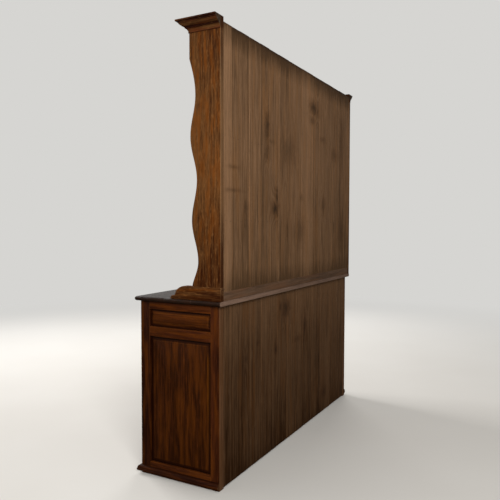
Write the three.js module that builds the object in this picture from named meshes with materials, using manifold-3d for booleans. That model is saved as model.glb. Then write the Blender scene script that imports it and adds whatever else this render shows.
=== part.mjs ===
// Welsh dresser in stained oak: a panelled base with three drawers over two doors, and on it
// an open plate rack with waved cheeks, a moulded cornice and a back of vertical boards.
// Millimetres, +Z up. The front faces -Y, and +X is the right-hand end seen from the front.
// The origin is on the floor, at the middle of the dresser's whole depth and width.
// Plate racks like this one lift off their base; here the rack stands on the top board.

import * as THREE from "three";
import { mergeVertices } from "three/addons/utils/BufferGeometryUtils.js";
import Module from "manifold-3d";

const wasm = await Module();
wasm.setup();

// Overall sizes
const BODY_WIDTH = 1600;
const BODY_DEPTH = 420;
const BODY_HEIGHT = 800;
const RACK_HEIGHT = 1180;

// Fits between pieces
const JOINT_CLEARANCE = 0.3;
const PANEL_SLACK = 1.5;
const CUT_OVERRUN = 10;

// Base frame
const FRONT_POST_WIDTH = 45;
const FRONT_POST_DEPTH = 49;
const REAR_POST_WIDTH = 38;
const REAR_POST_DEPTH = 45;
const SIDE_RAIL_THICKNESS = 22;
const SIDE_TOP_RAIL_HEIGHT = 37;
const SIDE_MIDDLE_RAIL_HEIGHT = 45;
const DRAWER_OPENING_HEIGHT = 111;
const BOTTOM_RAIL_HEIGHT = 61;
const FRONT_RAIL_DEPTH = 45;
const FRONT_TOP_RAIL_HEIGHT = 25;
const DRAWER_RAIL_HEIGHT = 25;
const FRONT_BOTTOM_RAIL_THICKNESS = 22;
const MUNTIN_WIDTH = 40;
const MUNTIN_DEPTH = 30;
const TENON_THICKNESS = 8;
const TENON_LENGTH = 20;
const TENON_SHOULDER = 6;
const MUNTIN_TENON_LENGTH = 12;
const BAY_COUNT = 3;

// Panels held in grooves
const SIDE_PANEL_THICKNESS = 9;
const SIDE_PANEL_RECESS = 8;
const PANEL_TONGUE = 6.5;
const FIELDED_PANEL_EDGE = 7;
const FIELDED_PANEL_RISE = 7;
const FIELDED_PANEL_BEVEL = 34;
const FIELDED_PANEL_SETBACK = 9;

// Boards inside the base and at its back
const CARCASE_BOARD_THICKNESS = 12;
const CARCASE_BOARD_HOUSING = 4;
const DRAWER_GUIDE_HEIGHT = 20;
const BACK_BOARD_THICKNESS = 12;
const BASE_BACK_REBATE = 8;
const BASE_BACK_FLOOR_GAP = 6;
const BOARD_JOINT_WIDTH = 2;
const BOARD_JOINT_DEPTH = 1.6;
const BASE_BOARD_WIDTH_SHARES = [12.5, 11.8, 11.4, 17.4, 12.1, 12.1, 9.2, 13.4, 12.4, 17, 11.7, 13];

// Top board and the mouldings round the base
const TOP_THICKNESS = 20;
const TOP_END_OVERHANG = 25;
const TOP_FRONT_OVERHANG = 15;
const TOP_REAR_OVERHANG = 18.5;
const TOP_NOSE_DEPTH = 9;
const PLINTH_PROJECTION = 17;
const PLINTH_FLOOR_GAP = 8;
const PLINTH_HEIGHT = 31;

// Plate rack
const RACK_END_INSET = 6;
const CHEEK_THICKNESS = 26;
const CHEEK_TOP_DEPTH = 154.5;
const CHEEK_STRAIGHT_HEIGHT = 140;
const CHEEK_WAVE_DEPTH = 42.3;
const CHEEK_TOE_LAND = 8;
const FOOT_HEIGHT = 60;
const FOOT_LENGTH = 259.5;
const FOOT_TOE_RADIUS = 17;
const FOOT_TOE_STEP = 8;
const FOOT_SHOULDER_LENGTH = 68;
const RACK_REAR_RAIL_HEIGHT = 40;
const RACK_REAR_RAIL_THICKNESS = 20;
const RACK_BACK_REBATE = 6;
const SHELF_THICKNESS = 18;
const SHELF_HOUSING = 8;
const SHELF_SETBACK = 3;
const PLATE_GROOVE_WIDTH = 7;
const PLATE_GROOVE_DEPTH = 3;
const PLATE_GROOVE_INSET = 42;
const FRIEZE_THICKNESS = 18;
const FRIEZE_HOUSING = 6;
const FRIEZE_WAVE_DEPTH = 16;
const FRIEZE_WAVE_COUNT = 5;
const CORNICE_HEIGHT = 52;
const CORNICE_PROJECTION = 43;
const RACK_TOP_SUNK = 18;
const RACK_BOARD_WIDTH_SHARES = [7.5, 6.5, 8.8, 10.7, 9.2, 10.8, 11.4, 17, 15.4, 10.1, 11.3, 9.9,
  11.1, 10, 9.7];

// Drawers
const DRAWER_GAP = 1.5;
const DRAWER_RUNNING_GAP = 0.4;
const DRAWER_FRONT_THICKNESS = 20;
const DRAWER_SIDE_THICKNESS = 10;
const DRAWER_BOTTOM_THICKNESS = 6;
const DRAWER_BOTTOM_RISE = 5;
const DRAWER_BACK_ROOM = 28;
const DRAWER_BOX_HEADROOM = 12;

// Doors and their hinges
const DOOR_GAP = 2;
const DOOR_THICKNESS = 20;
const DOOR_STILE_WIDTH = 62;
const DOOR_TOP_RAIL_HEIGHT = 62;
const DOOR_BOTTOM_RAIL_HEIGHT = 72;
const DOOR_EDGE_BEVEL = 5;
const HINGE_HEIGHT = 60;
const HINGE_END_DISTANCE = 90;
const HINGE_LEAF_THICKNESS = 1.5;
const HINGE_LEAF_WIDTH = 17;
const HINGE_BARREL_RADIUS = 4;
const HINGE_PIN_RADIUS = 1.5;
const HINGE_BORE_RADIUS = 2;
const KNUCKLE_COUNT = 3;

// Turned knobs
const KNOB_PROJECTION = 30.5;
const KNOB_RADIUS = 17;
const KNOB_SPIGOT_RADIUS = 5;
const KNOB_SPIGOT_LENGTH = 12;
const DOOR_KNOB_DROP = 239;

// Fineness of the round shapes
const KNOB_SIDES = 20;
const BARREL_SIDES = 16;
const PIN_SIDES = 8;
const WAVE_STEPS = 9;
const ARC_STEPS = 6;
const NOSE_STEPS = 10;

// Shapes that follow the sizes above, as shares of them.
// Cheek edge: where the wave turns, as shares of its height and of the wave's depth.
const CHEEK_TURN_SHARES = [[0.842, 0.7], [0.662, 0.095], [0.471, 0.86], [0.292, 0.26], [0.111, 1],
  [-0.024, 0.21]];
// Cornice: projection and height, from the bead at the bottom to the fillet at the top.
const CORNICE_SHARES = [[0.05, 0], [0.11, 0.05], [0.11, 0.12], [0.07, 0.17], [0.14, 0.27], [0.27, 0.37],
  [0.42, 0.44], [0.46, 0.46], [0.46, 0.52], [0.56, 0.55], [0.72, 0.62], [0.82, 0.72], [0.88, 0.84],
  [1, 0.87], [1, 1]];
// Plinth moulding: projection and height.
const PLINTH_SHARES = [[0.12, 0], [0.5, 0.07], [0.86, 0.2], [1, 0.38], [0.95, 0.5], [0.6, 0.72],
  [0.27, 0.9], [0.12, 1]];
// Knob: radius and projection.
const KNOB_SHARES = [[0.62, 0], [0.66, 0.07], [0.5, 0.14], [0.4, 0.26], [0.42, 0.38], [0.72, 0.5],
  [0.96, 0.62], [1, 0.74], [0.9, 0.87], [0.56, 0.97], [0, 1]];

// Levels and planes that the sizes give
const BODY_END = BODY_WIDTH / 2;
const BODY_FRONT = -BODY_DEPTH / 2;
const BODY_REAR = BODY_DEPTH / 2;
const DRAWER_TOP = BODY_HEIGHT - FRONT_TOP_RAIL_HEIGHT;
const DRAWER_LEVEL = DRAWER_TOP - DRAWER_OPENING_HEIGHT;
const DRAWER_RAIL_LEVEL = DRAWER_LEVEL - DRAWER_RAIL_HEIGHT;
const TOP_END = BODY_END + TOP_END_OVERHANG;
const TOP_FRONT = BODY_FRONT - TOP_FRONT_OVERHANG;
const TOP_REAR = BODY_REAR + TOP_REAR_OVERHANG;
const TOP_LEVEL = BODY_HEIGHT + TOP_THICKNESS;
const FRONT_POST_INNER = BODY_END - FRONT_POST_WIDTH;
const FRONT_POST_BACK = BODY_FRONT + FRONT_POST_DEPTH;
const REAR_POST_INNER = BODY_END - REAR_POST_WIDTH;
const REAR_POST_FRONT = BODY_REAR - REAR_POST_DEPTH;
const SIDE_RAIL_INNER = BODY_END - SIDE_RAIL_THICKNESS;
const SIDE_MIDDLE_RAIL_TOP = DRAWER_RAIL_LEVEL + SIDE_MIDDLE_RAIL_HEIGHT;
const SIDE_TOP_RAIL_LEVEL = BODY_HEIGHT - SIDE_TOP_RAIL_HEIGHT;
const FRONT_RAIL_BACK = BODY_FRONT + FRONT_RAIL_DEPTH;
const MUNTIN_BACK = BODY_FRONT + MUNTIN_DEPTH;
const LAP_PLANE = BODY_FRONT + MUNTIN_DEPTH / 2;
const DOOR_KNOB_LEVEL = DRAWER_RAIL_LEVEL - DOOR_KNOB_DROP;
const BAY_WIDTH = (2 * FRONT_POST_INNER - (BAY_COUNT - 1) * MUNTIN_WIDTH) / BAY_COUNT;
const BAY_PITCH = BAY_WIDTH + MUNTIN_WIDTH;
const BASE_BACK_FRONT = BODY_REAR - BACK_BOARD_THICKNESS;
const BASE_BACK_END = REAR_POST_INNER + BASE_BACK_REBATE;
const FLOOR_BOARD_LEVEL = BOTTOM_RAIL_HEIGHT - CARCASE_BOARD_THICKNESS;
const RACK_END = TOP_END - RACK_END_INSET;
const RACK_REAR = TOP_REAR;
const RACK_INNER = RACK_END - CHEEK_THICKNESS;
const RACK_BACK_FRONT = RACK_REAR - BACK_BOARD_THICKNESS;
const RACK_BACK_END = RACK_INNER + RACK_BACK_REBATE;
const FOOT_TOP = TOP_LEVEL + FOOT_HEIGHT;
const CORNICE_TOP = TOP_LEVEL + RACK_HEIGHT;
const RACK_TOP_LEVEL = CORNICE_TOP - RACK_TOP_SUNK;
const CHEEK_FRONT = RACK_REAR - CHEEK_TOP_DEPTH;
const CHEEK_WAVE_TOP = RACK_TOP_LEVEL - CHEEK_STRAIGHT_HEIGHT;
const CORNICE_LEVEL = CORNICE_TOP - CORNICE_HEIGHT;

// The knobs reach furthest forward and the top board furthest back: their middle is moved to Y = 0.
const DEPTH_SHIFT = -(BODY_FRONT - KNOB_PROJECTION + TOP_REAR) / 2;

// Finishes
const OAK_DARK = finish(0x4a2713, 0.42, 0);
const OAK_WARM = finish(0x6b3f1d, 0.45, 0);
const OAK_TOP = finish(0x3a241a, 0.3, 0);
const PINE_RACK = finish(0x6b5038, 0.7, 0);
const PINE_BASE = finish(0x433024, 0.7, 0);
const PINE_INSIDE = finish(0x8a6a45, 0.75, 0);
const KNOB_WOOD = finish(0x3d2213, 0.35, 0);
const BRASS = finish(0x9a7a3c, 0.4, 1);

function finish(colour, roughness, metalness) {
  return new THREE.MeshStandardMaterial({
    color: colour,
    roughness: roughness,
    metalness: metalness,
    flatShading: true,
  });
}

// Tools for shaping wood

function solidOf(geometry) {
  geometry.deleteAttribute("normal");
  geometry.deleteAttribute("uv");
  const merged = mergeVertices(geometry);
  const mesh = new wasm.Mesh({
    numProp: 3,
    vertProperties: new Float32Array(merged.attributes.position.array),
    triVerts: new Uint32Array(merged.index.array),
  });
  return new wasm.Manifold(mesh);
}

// A box is three spans, each a pair of its low and high ends.
function box(x, y, z) {
  return { x: x, y: y, z: z };
}

function grown(piece, x, y, z) {
  return box(
    [piece.x[0] - x, piece.x[1] + x],
    [piece.y[0] - y, piece.y[1] + y],
    [piece.z[0] - z, piece.z[1] + z],
  );
}

function solidBox(piece) {
  const size = [piece.x, piece.y, piece.z].map((span) => span[1] - span[0]);
  const middle = [piece.x, piece.y, piece.z].map((span) => (span[0] + span[1]) / 2);
  const geometry = new THREE.BoxGeometry(size[0], size[1], size[2]);
  geometry.translate(middle[0], middle[1], middle[2]);
  return solidOf(geometry);
}

// A room in a neighbour for a piece, with the joint's clearance on every side.
function room(piece) {
  return solidBox(grown(piece, JOINT_CLEARANCE, JOINT_CLEARANCE, JOINT_CLEARANCE));
}

const ALONG_X = new THREE.Vector3(1, 0, 0);
const ALONG_Y = new THREE.Vector3(0, 1, 0);
const ALONG_Z = new THREE.Vector3(0, 0, 1);

// For each axis, the directions that an outline's first and second numbers and its sweep take
const SWEEPS = {
  x: { basis: [ALONG_Y, ALONG_Z, ALONG_X], swapped: false },
  y: { basis: [ALONG_Z, ALONG_X, ALONG_Y], swapped: true },
  z: { basis: [ALONG_X, ALONG_Y, ALONG_Z], swapped: false },
};

function swappedPair(p) {
  return [p[1], p[0]];
}

// An outline carried along one axis. Its points are (Y, Z) along X, (X, Z) along Y and (X, Y) along Z.
function prism(axis, outline, span) {
  const sweep = SWEEPS[axis];
  const pairs = sweep.swapped ? outline.map(swappedPair) : outline;
  const shape = new THREE.Shape(pairs.map((p) => new THREE.Vector2(p[0], p[1])));
  const geometry = new THREE.ExtrudeGeometry(shape, { depth: span[1] - span[0], bevelEnabled: false });
  geometry.translate(0, 0, span[0]);
  geometry.applyMatrix4(new THREE.Matrix4().makeBasis(...sweep.basis));
  return solidOf(geometry);
}

// Ways for a turned shape to stand: on its end, or out from the front.
const FORWARDS = ALONG_Y.clone().negate();
const DOWNWARDS = ALONG_Z.clone().negate();
const UPRIGHT = new THREE.Matrix4().makeBasis(ALONG_X, ALONG_Z, FORWARDS);
const TO_THE_FRONT = new THREE.Matrix4().makeBasis(ALONG_X, FORWARDS, DOWNWARDS);

// A turned shape: the profile's points are (radius, distance along the axis) from its start.
function turned(profile, sides, stance, start) {
  const geometry = new THREE.LatheGeometry(profile.map((p) => new THREE.Vector2(p[0], p[1])), sides);
  geometry.applyMatrix4(stance);
  geometry.translate(start[0], start[1], start[2]);
  return solidOf(geometry);
}

function rod(radius, sides, x, y, z) {
  const length = z[1] - z[0];
  return turned([[0, 0], [radius, 0], [radius, length], [0, length]], sides, UPRIGHT, [x, y, z[0]]);
}

function joined(solids) {
  return solids.reduce((whole, solid) => whole.add(solid));
}

function cut(solid, cutters) {
  return cutters.reduce((rest, cutter) => rest.subtract(cutter), solid);
}

// The span from an inner to an outer distance on the right end (side 1) or the left end (side -1).
function endSpan(side, inner, outer) {
  return side > 0 ? [inner, outer] : [-outer, -inner];
}

function addPiece(group, name, solid, material) {
  const mesh = solid.getMesh();
  const geometry = new THREE.BufferGeometry();
  geometry.setAttribute("position", new THREE.BufferAttribute(new Float32Array(mesh.vertProperties), 3));
  geometry.setIndex(new THREE.BufferAttribute(new Uint32Array(mesh.triVerts), 1));
  geometry.computeVertexNormals();
  const piece = new THREE.Mesh(geometry, material);
  piece.name = name;
  group.add(piece);
}

// A moulded block with mitred front corners: each outline point is (distance out, level).
// It is what two sweeps of the outline share, one across the dresser and one from front to back.
function mouldedBlock(outline, end, front, rear) {
  const rightSide = outline.map((p) => [end + p[0], p[1]]);
  const leftSide = outline.map((p) => [-end - p[0], p[1]]).reverse();
  const frontSide = outline.map((p) => [front - p[0], p[1]]);
  const low = outline[0][1];
  const high = outline[outline.length - 1][1];
  const reach = Math.max(...outline.map((p) => p[0])) + CUT_OVERRUN;
  const across = prism("y", rightSide.concat(leftSide), [front - reach, rear]);
  const along = prism("x", frontSide.concat([[rear, high], [rear, low]]), [-end - reach, end + reach]);
  return across.intersect(along);
}

// The two ends and the three drawer bays: what they are called, and the side of the middle they lie on
const ENDS = [["left", -1], ["right", 1]];
const BAYS = [["left", -1], ["middle", 0], ["right", 1]];

// Boxes of the frame pieces, and of the tenons that join them

const postSpanZ = [0, BODY_HEIGHT];
const sideRailLevels = {
  top: [SIDE_TOP_RAIL_LEVEL, BODY_HEIGHT],
  middle: [DRAWER_RAIL_LEVEL, SIDE_MIDDLE_RAIL_TOP],
  bottom: [0, BOTTOM_RAIL_HEIGHT],
};
const sidePanelLevels = {
  upper: [SIDE_MIDDLE_RAIL_TOP, SIDE_TOP_RAIL_LEVEL],
  lower: [BOTTOM_RAIL_HEIGHT, DRAWER_RAIL_LEVEL],
};

function frontPostBox(side) {
  return box(endSpan(side, FRONT_POST_INNER, BODY_END), [BODY_FRONT, FRONT_POST_BACK], postSpanZ);
}

function rearPostBox(side) {
  return box(endSpan(side, REAR_POST_INNER, BODY_END), [REAR_POST_FRONT, BODY_REAR], postSpanZ);
}

function sideRailBox(side, level) {
  const x = endSpan(side, SIDE_RAIL_INNER, BODY_END);
  return box(x, [FRONT_POST_BACK, REAR_POST_FRONT], sideRailLevels[level]);
}

// One tenoned box, longer than the rail by a tenon at each end
function sideRailTenonBox(side, level) {
  const middle = BODY_END - SIDE_RAIL_THICKNESS / 2;
  const z = sideRailLevels[level];
  return box(
    endSpan(side, middle - TENON_THICKNESS / 2, middle + TENON_THICKNESS / 2),
    [FRONT_POST_BACK - TENON_LENGTH, REAR_POST_FRONT + TENON_LENGTH],
    [z[0] + TENON_SHOULDER, z[1] - TENON_SHOULDER],
  );
}

function sidePanelBox(side, level) {
  const outer = BODY_END - SIDE_PANEL_RECESS;
  const z = sidePanelLevels[level];
  return box(
    endSpan(side, outer - SIDE_PANEL_THICKNESS, outer),
    [FRONT_POST_BACK - PANEL_TONGUE, REAR_POST_FRONT + PANEL_TONGUE],
    [z[0] - PANEL_TONGUE, z[1] + PANEL_TONGUE],
  );
}

// The groove that holds a panel: a little deeper than its tongue, a little wider than its edge
function sideGroove(side, level) {
  return solidBox(grown(sidePanelBox(side, level), JOINT_CLEARANCE, PANEL_SLACK, PANEL_SLACK));
}

const frontRails = {
  top: { z: [DRAWER_TOP, BODY_HEIGHT], depth: FRONT_RAIL_DEPTH },
  drawer: { z: [DRAWER_RAIL_LEVEL, DRAWER_LEVEL], depth: FRONT_RAIL_DEPTH },
  bottom: { z: [0, BOTTOM_RAIL_HEIGHT], depth: FRONT_BOTTOM_RAIL_THICKNESS },
};

function frontRailBox(name) {
  const rail = frontRails[name];
  return box([-FRONT_POST_INNER, FRONT_POST_INNER], [BODY_FRONT, BODY_FRONT + rail.depth], rail.z);
}

function frontRailTenonBox(name) {
  const rail = frontRails[name];
  const middle = BODY_FRONT + rail.depth / 2;
  const reach = FRONT_POST_INNER + TENON_LENGTH;
  return box(
    [-reach, reach],
    [middle - TENON_THICKNESS / 2, middle + TENON_THICKNESS / 2],
    [rail.z[0] + TENON_SHOULDER, rail.z[1] - TENON_SHOULDER],
  );
}

function muntinX(side) {
  const inner = BAY_WIDTH / 2;
  return endSpan(side, inner, inner + MUNTIN_WIDTH);
}

function muntinBox(side) {
  return box(muntinX(side), [BODY_FRONT, MUNTIN_BACK], [BOTTOM_RAIL_HEIGHT, DRAWER_TOP]);
}

// The stub tenons run from the muntin's ends into the bottom and top rails.
function muntinTenonBox(side) {
  const x = muntinX(side);
  const middle = BODY_FRONT + FRONT_BOTTOM_RAIL_THICKNESS / 2;
  return box(
    [x[0] + TENON_SHOULDER, x[1] - TENON_SHOULDER],
    [middle - TENON_THICKNESS / 2, middle + TENON_THICKNESS / 2],
    [BOTTOM_RAIL_HEIGHT - MUNTIN_TENON_LENGTH, DRAWER_TOP + MUNTIN_TENON_LENGTH],
  );
}

const floorBoardBox = box(
  [-SIDE_RAIL_INNER - CARCASE_BOARD_HOUSING, SIDE_RAIL_INNER + CARCASE_BOARD_HOUSING],
  [BODY_FRONT + FRONT_BOTTOM_RAIL_THICKNESS - CARCASE_BOARD_HOUSING, BASE_BACK_FRONT],
  [FLOOR_BOARD_LEVEL, BOTTOM_RAIL_HEIGHT],
);
const dustBoardBox = box(
  floorBoardBox.x,
  [FRONT_RAIL_BACK - CARCASE_BOARD_HOUSING, BASE_BACK_FRONT],
  [DRAWER_LEVEL - CARCASE_BOARD_THICKNESS, DRAWER_LEVEL],
);
const baseBackBox = box(
  [-BASE_BACK_END, BASE_BACK_END],
  [BASE_BACK_FRONT, BODY_REAR],
  [BASE_BACK_FLOOR_GAP, BODY_HEIGHT],
);

// The opening of the fixed middle panel: between the muntins, under the drawer rail
const centrePanelOpening = box(
  [-BAY_WIDTH / 2, BAY_WIDTH / 2],
  [BODY_FRONT, BODY_FRONT + FRONT_BOTTOM_RAIL_THICKNESS],
  [BOTTOM_RAIL_HEIGHT, DRAWER_RAIL_LEVEL],
);

// The thin edge of a fielded panel, with its tongues in the frame round an opening
function fieldedEdgeBox(opening) {
  const front = opening.y[0] + FIELDED_PANEL_SETBACK;
  return box(
    [opening.x[0] - PANEL_TONGUE, opening.x[1] + PANEL_TONGUE],
    [front, front + FIELDED_PANEL_EDGE],
    [opening.z[0] - PANEL_TONGUE, opening.z[1] + PANEL_TONGUE],
  );
}

function fieldedGroove(opening) {
  return solidBox(grown(fieldedEdgeBox(opening), PANEL_SLACK, JOINT_CLEARANCE, PANEL_SLACK));
}

// A panel whose field rises from bevels: two bevelled sweeps crossed at right angles
function fieldedPanel(opening) {
  const edge = fieldedEdgeBox(opening);
  const face = edge.y[0];
  const field = face - FIELDED_PANEL_RISE;
  const bevelled = (span, open) => [
    [span[0], edge.y[1]], [span[0], face], [open[0], face], [open[0] + FIELDED_PANEL_BEVEL, field],
    [open[1] - FIELDED_PANEL_BEVEL, field], [open[1], face], [span[1], face], [span[1], edge.y[1]],
  ];
  const across = prism("z", bevelled(edge.x, opening.x), edge.z);
  const upright = prism("x", bevelled(edge.z, opening.z).map(swappedPair), edge.x);
  return across.intersect(upright);
}

// Rack pieces as boxes, and the wave that the cheeks follow

const cheekTurns = CHEEK_TURN_SHARES.map((turn) => [
  CHEEK_FRONT + turn[1] * CHEEK_WAVE_DEPTH,
  FOOT_TOP + turn[0] * (CHEEK_WAVE_TOP - FOOT_TOP),
]);
const friezeMiddle = CHEEK_FRONT + FRIEZE_THICKNESS / 2;
const rackRearRailMiddle = RACK_REAR - RACK_REAR_RAIL_THICKNESS / 2;
const rackBackBox = box(
  [-RACK_BACK_END, RACK_BACK_END],
  [RACK_BACK_FRONT, RACK_REAR],
  [TOP_LEVEL + RACK_REAR_RAIL_HEIGHT, RACK_TOP_LEVEL],
);
const rackTopBox = box(
  [-RACK_INNER - SHELF_HOUSING, RACK_INNER + SHELF_HOUSING],
  [CHEEK_FRONT + FRIEZE_THICKNESS, RACK_BACK_FRONT],
  [RACK_TOP_LEVEL - CARCASE_BOARD_THICKNESS, RACK_TOP_LEVEL],
);
const friezeTenonBox = box(
  [-RACK_INNER - FRIEZE_HOUSING, RACK_INNER + FRIEZE_HOUSING],
  [friezeMiddle - TENON_THICKNESS / 2, friezeMiddle + TENON_THICKNESS / 2],
  [CHEEK_WAVE_TOP + FRIEZE_WAVE_DEPTH, RACK_TOP_LEVEL - FRIEZE_WAVE_DEPTH],
);
const rackRearRailBox = box(
  [-RACK_INNER, RACK_INNER],
  [RACK_REAR - RACK_REAR_RAIL_THICKNESS, RACK_REAR],
  [TOP_LEVEL, TOP_LEVEL + RACK_REAR_RAIL_HEIGHT],
);
const rackRearRailTenonBox = box(
  [-RACK_INNER - MUNTIN_TENON_LENGTH, RACK_INNER + MUNTIN_TENON_LENGTH],
  [rackRearRailMiddle - TENON_THICKNESS / 2, rackRearRailMiddle + TENON_THICKNESS / 2],
  [TOP_LEVEL + TENON_SHOULDER, TOP_LEVEL + RACK_REAR_RAIL_HEIGHT - TENON_SHOULDER],
);

// The shelves lie where the cheeks are deepest, at the wave's second and fourth turns.
const SHELVES = [["lower", cheekTurns[3]], ["upper", cheekTurns[1]]];

function shelfBox(turn) {
  return box(
    [-RACK_INNER - SHELF_HOUSING, RACK_INNER + SHELF_HOUSING],
    [turn[0] + SHELF_SETBACK, RACK_BACK_FRONT],
    [turn[1] - SHELF_THICKNESS / 2, turn[1] + SHELF_THICKNESS / 2],
  );
}

// The front edge of a cheek, downwards: a quarter wave to the first turn, then half waves.
function cheekEdge() {
  const lowest = FOOT_TOP + CHEEK_TOE_LAND;
  const points = [[CHEEK_FRONT, CHEEK_WAVE_TOP]];
  const first = cheekTurns[0];
  for (let step = 1; step <= WAVE_STEPS; step += 1) {
    const t = step / WAVE_STEPS;
    points.push([
      CHEEK_FRONT + (first[0] - CHEEK_FRONT) * Math.sin((t * Math.PI) / 2),
      CHEEK_WAVE_TOP + (first[1] - CHEEK_WAVE_TOP) * t,
    ]);
  }
  for (let turn = 1; turn < cheekTurns.length; turn += 1) {
    const from = cheekTurns[turn - 1];
    const to = cheekTurns[turn];
    const reach = Math.min(1, (from[1] - lowest) / (from[1] - to[1]));
    for (let step = 1; step <= WAVE_STEPS; step += 1) {
      const t = (reach * step) / WAVE_STEPS;
      const ease = (1 - Math.cos(t * Math.PI)) / 2;
      points.push([from[0] + (to[0] - from[0]) * ease, from[1] + (to[1] - from[1]) * t]);
    }
  }
  points.push([points[points.length - 1][0], FOOT_TOP]);
  return points;
}

// The side of a rack foot: a small round toe, a step and a long rounded shoulder.
function footOutline() {
  const tip = RACK_REAR - FOOT_LENGTH;
  const shoulderStart = tip + FOOT_TOE_RADIUS + FOOT_TOE_STEP;
  const shoulderRise = FOOT_HEIGHT - FOOT_TOE_RADIUS;
  const points = [[RACK_REAR, FOOT_TOP], [RACK_REAR, TOP_LEVEL]];
  for (let step = 0; step <= ARC_STEPS; step += 1) {
    const angle = (step * Math.PI) / 2 / ARC_STEPS;
    points.push([
      tip + FOOT_TOE_RADIUS * (1 - Math.cos(angle)),
      TOP_LEVEL + FOOT_TOE_RADIUS * Math.sin(angle),
    ]);
  }
  for (let step = 0; step <= ARC_STEPS; step += 1) {
    const angle = (step * Math.PI) / 2 / ARC_STEPS;
    points.push([
      shoulderStart + FOOT_SHOULDER_LENGTH * (1 - Math.cos(angle)),
      TOP_LEVEL + FOOT_TOE_RADIUS + shoulderRise * Math.sin(angle),
    ]);
  }
  return points;
}

// The frieze seen from the front, with a lower edge of shallow arches.
function friezeOutline() {
  const width = 2 * RACK_INNER;
  const steps = FRIEZE_WAVE_COUNT * WAVE_STEPS;
  const points = [[RACK_INNER, RACK_TOP_LEVEL], [-RACK_INNER, RACK_TOP_LEVEL]];
  for (let step = 0; step <= steps; step += 1) {
    const share = step / steps;
    const rise = (1 - Math.cos(share * FRIEZE_WAVE_COUNT * 2 * Math.PI)) / 2;
    points.push([-RACK_INNER + share * width, CHEEK_WAVE_TOP + rise * FRIEZE_WAVE_DEPTH]);
  }
  return points;
}

// The half-round nose of the top board, from its underside to its upper face
function topNose() {
  const points = [];
  for (let step = 0; step <= NOSE_STEPS; step += 1) {
    const angle = (step / NOSE_STEPS - 1 / 2) * Math.PI;
    points.push([
      -TOP_NOSE_DEPTH * (1 - Math.cos(angle)),
      BODY_HEIGHT + (TOP_THICKNESS * (1 + Math.sin(angle))) / 2,
    ]);
  }
  return points;
}

// Boards side by side with a narrow V at each joint of their rear faces
function boardedBack(piece, widthShares) {
  const total = widthShares.reduce((sum, share) => sum + share);
  const width = piece.x[1] - piece.x[0];
  const rear = piece.y[1];
  let place = piece.x[1];
  const joints = widthShares.slice(0, -1).map((share) => {
    place -= (share / total) * width;
    const low = place - BOARD_JOINT_WIDTH / 2;
    const high = place + BOARD_JOINT_WIDTH / 2;
    const outline = [[low, rear + CUT_OVERRUN], [low, rear], [place, rear - BOARD_JOINT_DEPTH],
      [high, rear], [high, rear + CUT_OVERRUN]];
    return prism("z", outline, [piece.z[0] - CUT_OVERRUN, piece.z[1] + CUT_OVERRUN]);
  });
  return cut(solidBox(piece), joints);
}

// Hinges: the post's leaf has two knuckles and the pin, and the door's leaf has the middle knuckle

const HINGE_AXIS_Y = BODY_FRONT - HINGE_BARREL_RADIUS - JOINT_CLEARANCE;
const HINGE_AXIS_X = FRONT_POST_INNER - DOOR_GAP / 2;
const KNUCKLE_HEIGHT = HINGE_HEIGHT / KNUCKLE_COUNT;
const HINGES = [
  ["lower", BOTTOM_RAIL_HEIGHT + DOOR_GAP + HINGE_END_DISTANCE],
  ["upper", DRAWER_RAIL_LEVEL - DOOR_GAP - HINGE_END_DISTANCE],
];

function hingeLeafBox(x, level) {
  const z = [level - HINGE_HEIGHT / 2, level + HINGE_HEIGHT / 2];
  return box(x, [BODY_FRONT, BODY_FRONT + HINGE_LEAF_WIDTH], z);
}

function postLeafBox(side, level) {
  return hingeLeafBox(endSpan(side, FRONT_POST_INNER, FRONT_POST_INNER + HINGE_LEAF_THICKNESS), level);
}

function doorLeafBox(side, level) {
  const edge = FRONT_POST_INNER - DOOR_GAP;
  return hingeLeafBox(endSpan(side, edge - HINGE_LEAF_THICKNESS, edge), level);
}

// A knuckle and the tab that joins it to its leaf
function knuckle(side, leaf, z) {
  const barrel = rod(HINGE_BARREL_RADIUS, BARREL_SIDES, side * HINGE_AXIS_X, HINGE_AXIS_Y, z);
  const tab = solidBox(box(leaf.x, [HINGE_AXIS_Y, BODY_FRONT], z));
  return barrel.add(tab);
}

function postHinge(side, level) {
  const leaf = postLeafBox(side, level);
  const low = [leaf.z[0], leaf.z[0] + KNUCKLE_HEIGHT];
  const high = [leaf.z[1] - KNUCKLE_HEIGHT, leaf.z[1]];
  const pin = rod(HINGE_PIN_RADIUS, PIN_SIDES, side * HINGE_AXIS_X, HINGE_AXIS_Y, leaf.z);
  return joined([solidBox(leaf), knuckle(side, leaf, low), knuckle(side, leaf, high), pin]);
}

function doorHinge(side, level) {
  const leaf = doorLeafBox(side, level);
  const half = KNUCKLE_HEIGHT / 2 - JOINT_CLEARANCE;
  const middle = [level - half, level + half];
  const through = [middle[0] - CUT_OVERRUN, middle[1] + CUT_OVERRUN];
  const bore = rod(HINGE_BORE_RADIUS, BARREL_SIDES, side * HINGE_AXIS_X, HINGE_AXIS_Y, through);
  return solidBox(leaf).add(knuckle(side, leaf, middle)).subtract(bore);
}

// A turned knob on a front at Y = BODY_FRONT, and the bore for its spigot
function knob(x, z) {
  const radius = KNOB_SPIGOT_RADIUS;
  const spigot = [[0, -KNOB_SPIGOT_LENGTH], [radius, -KNOB_SPIGOT_LENGTH], [radius, 0]];
  const body = KNOB_SHARES.map((share) => [share[0] * KNOB_RADIUS, share[1] * KNOB_PROJECTION]);
  return turned(spigot.concat(body), KNOB_SIDES, TO_THE_FRONT, [x, BODY_FRONT, z]);
}

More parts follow.
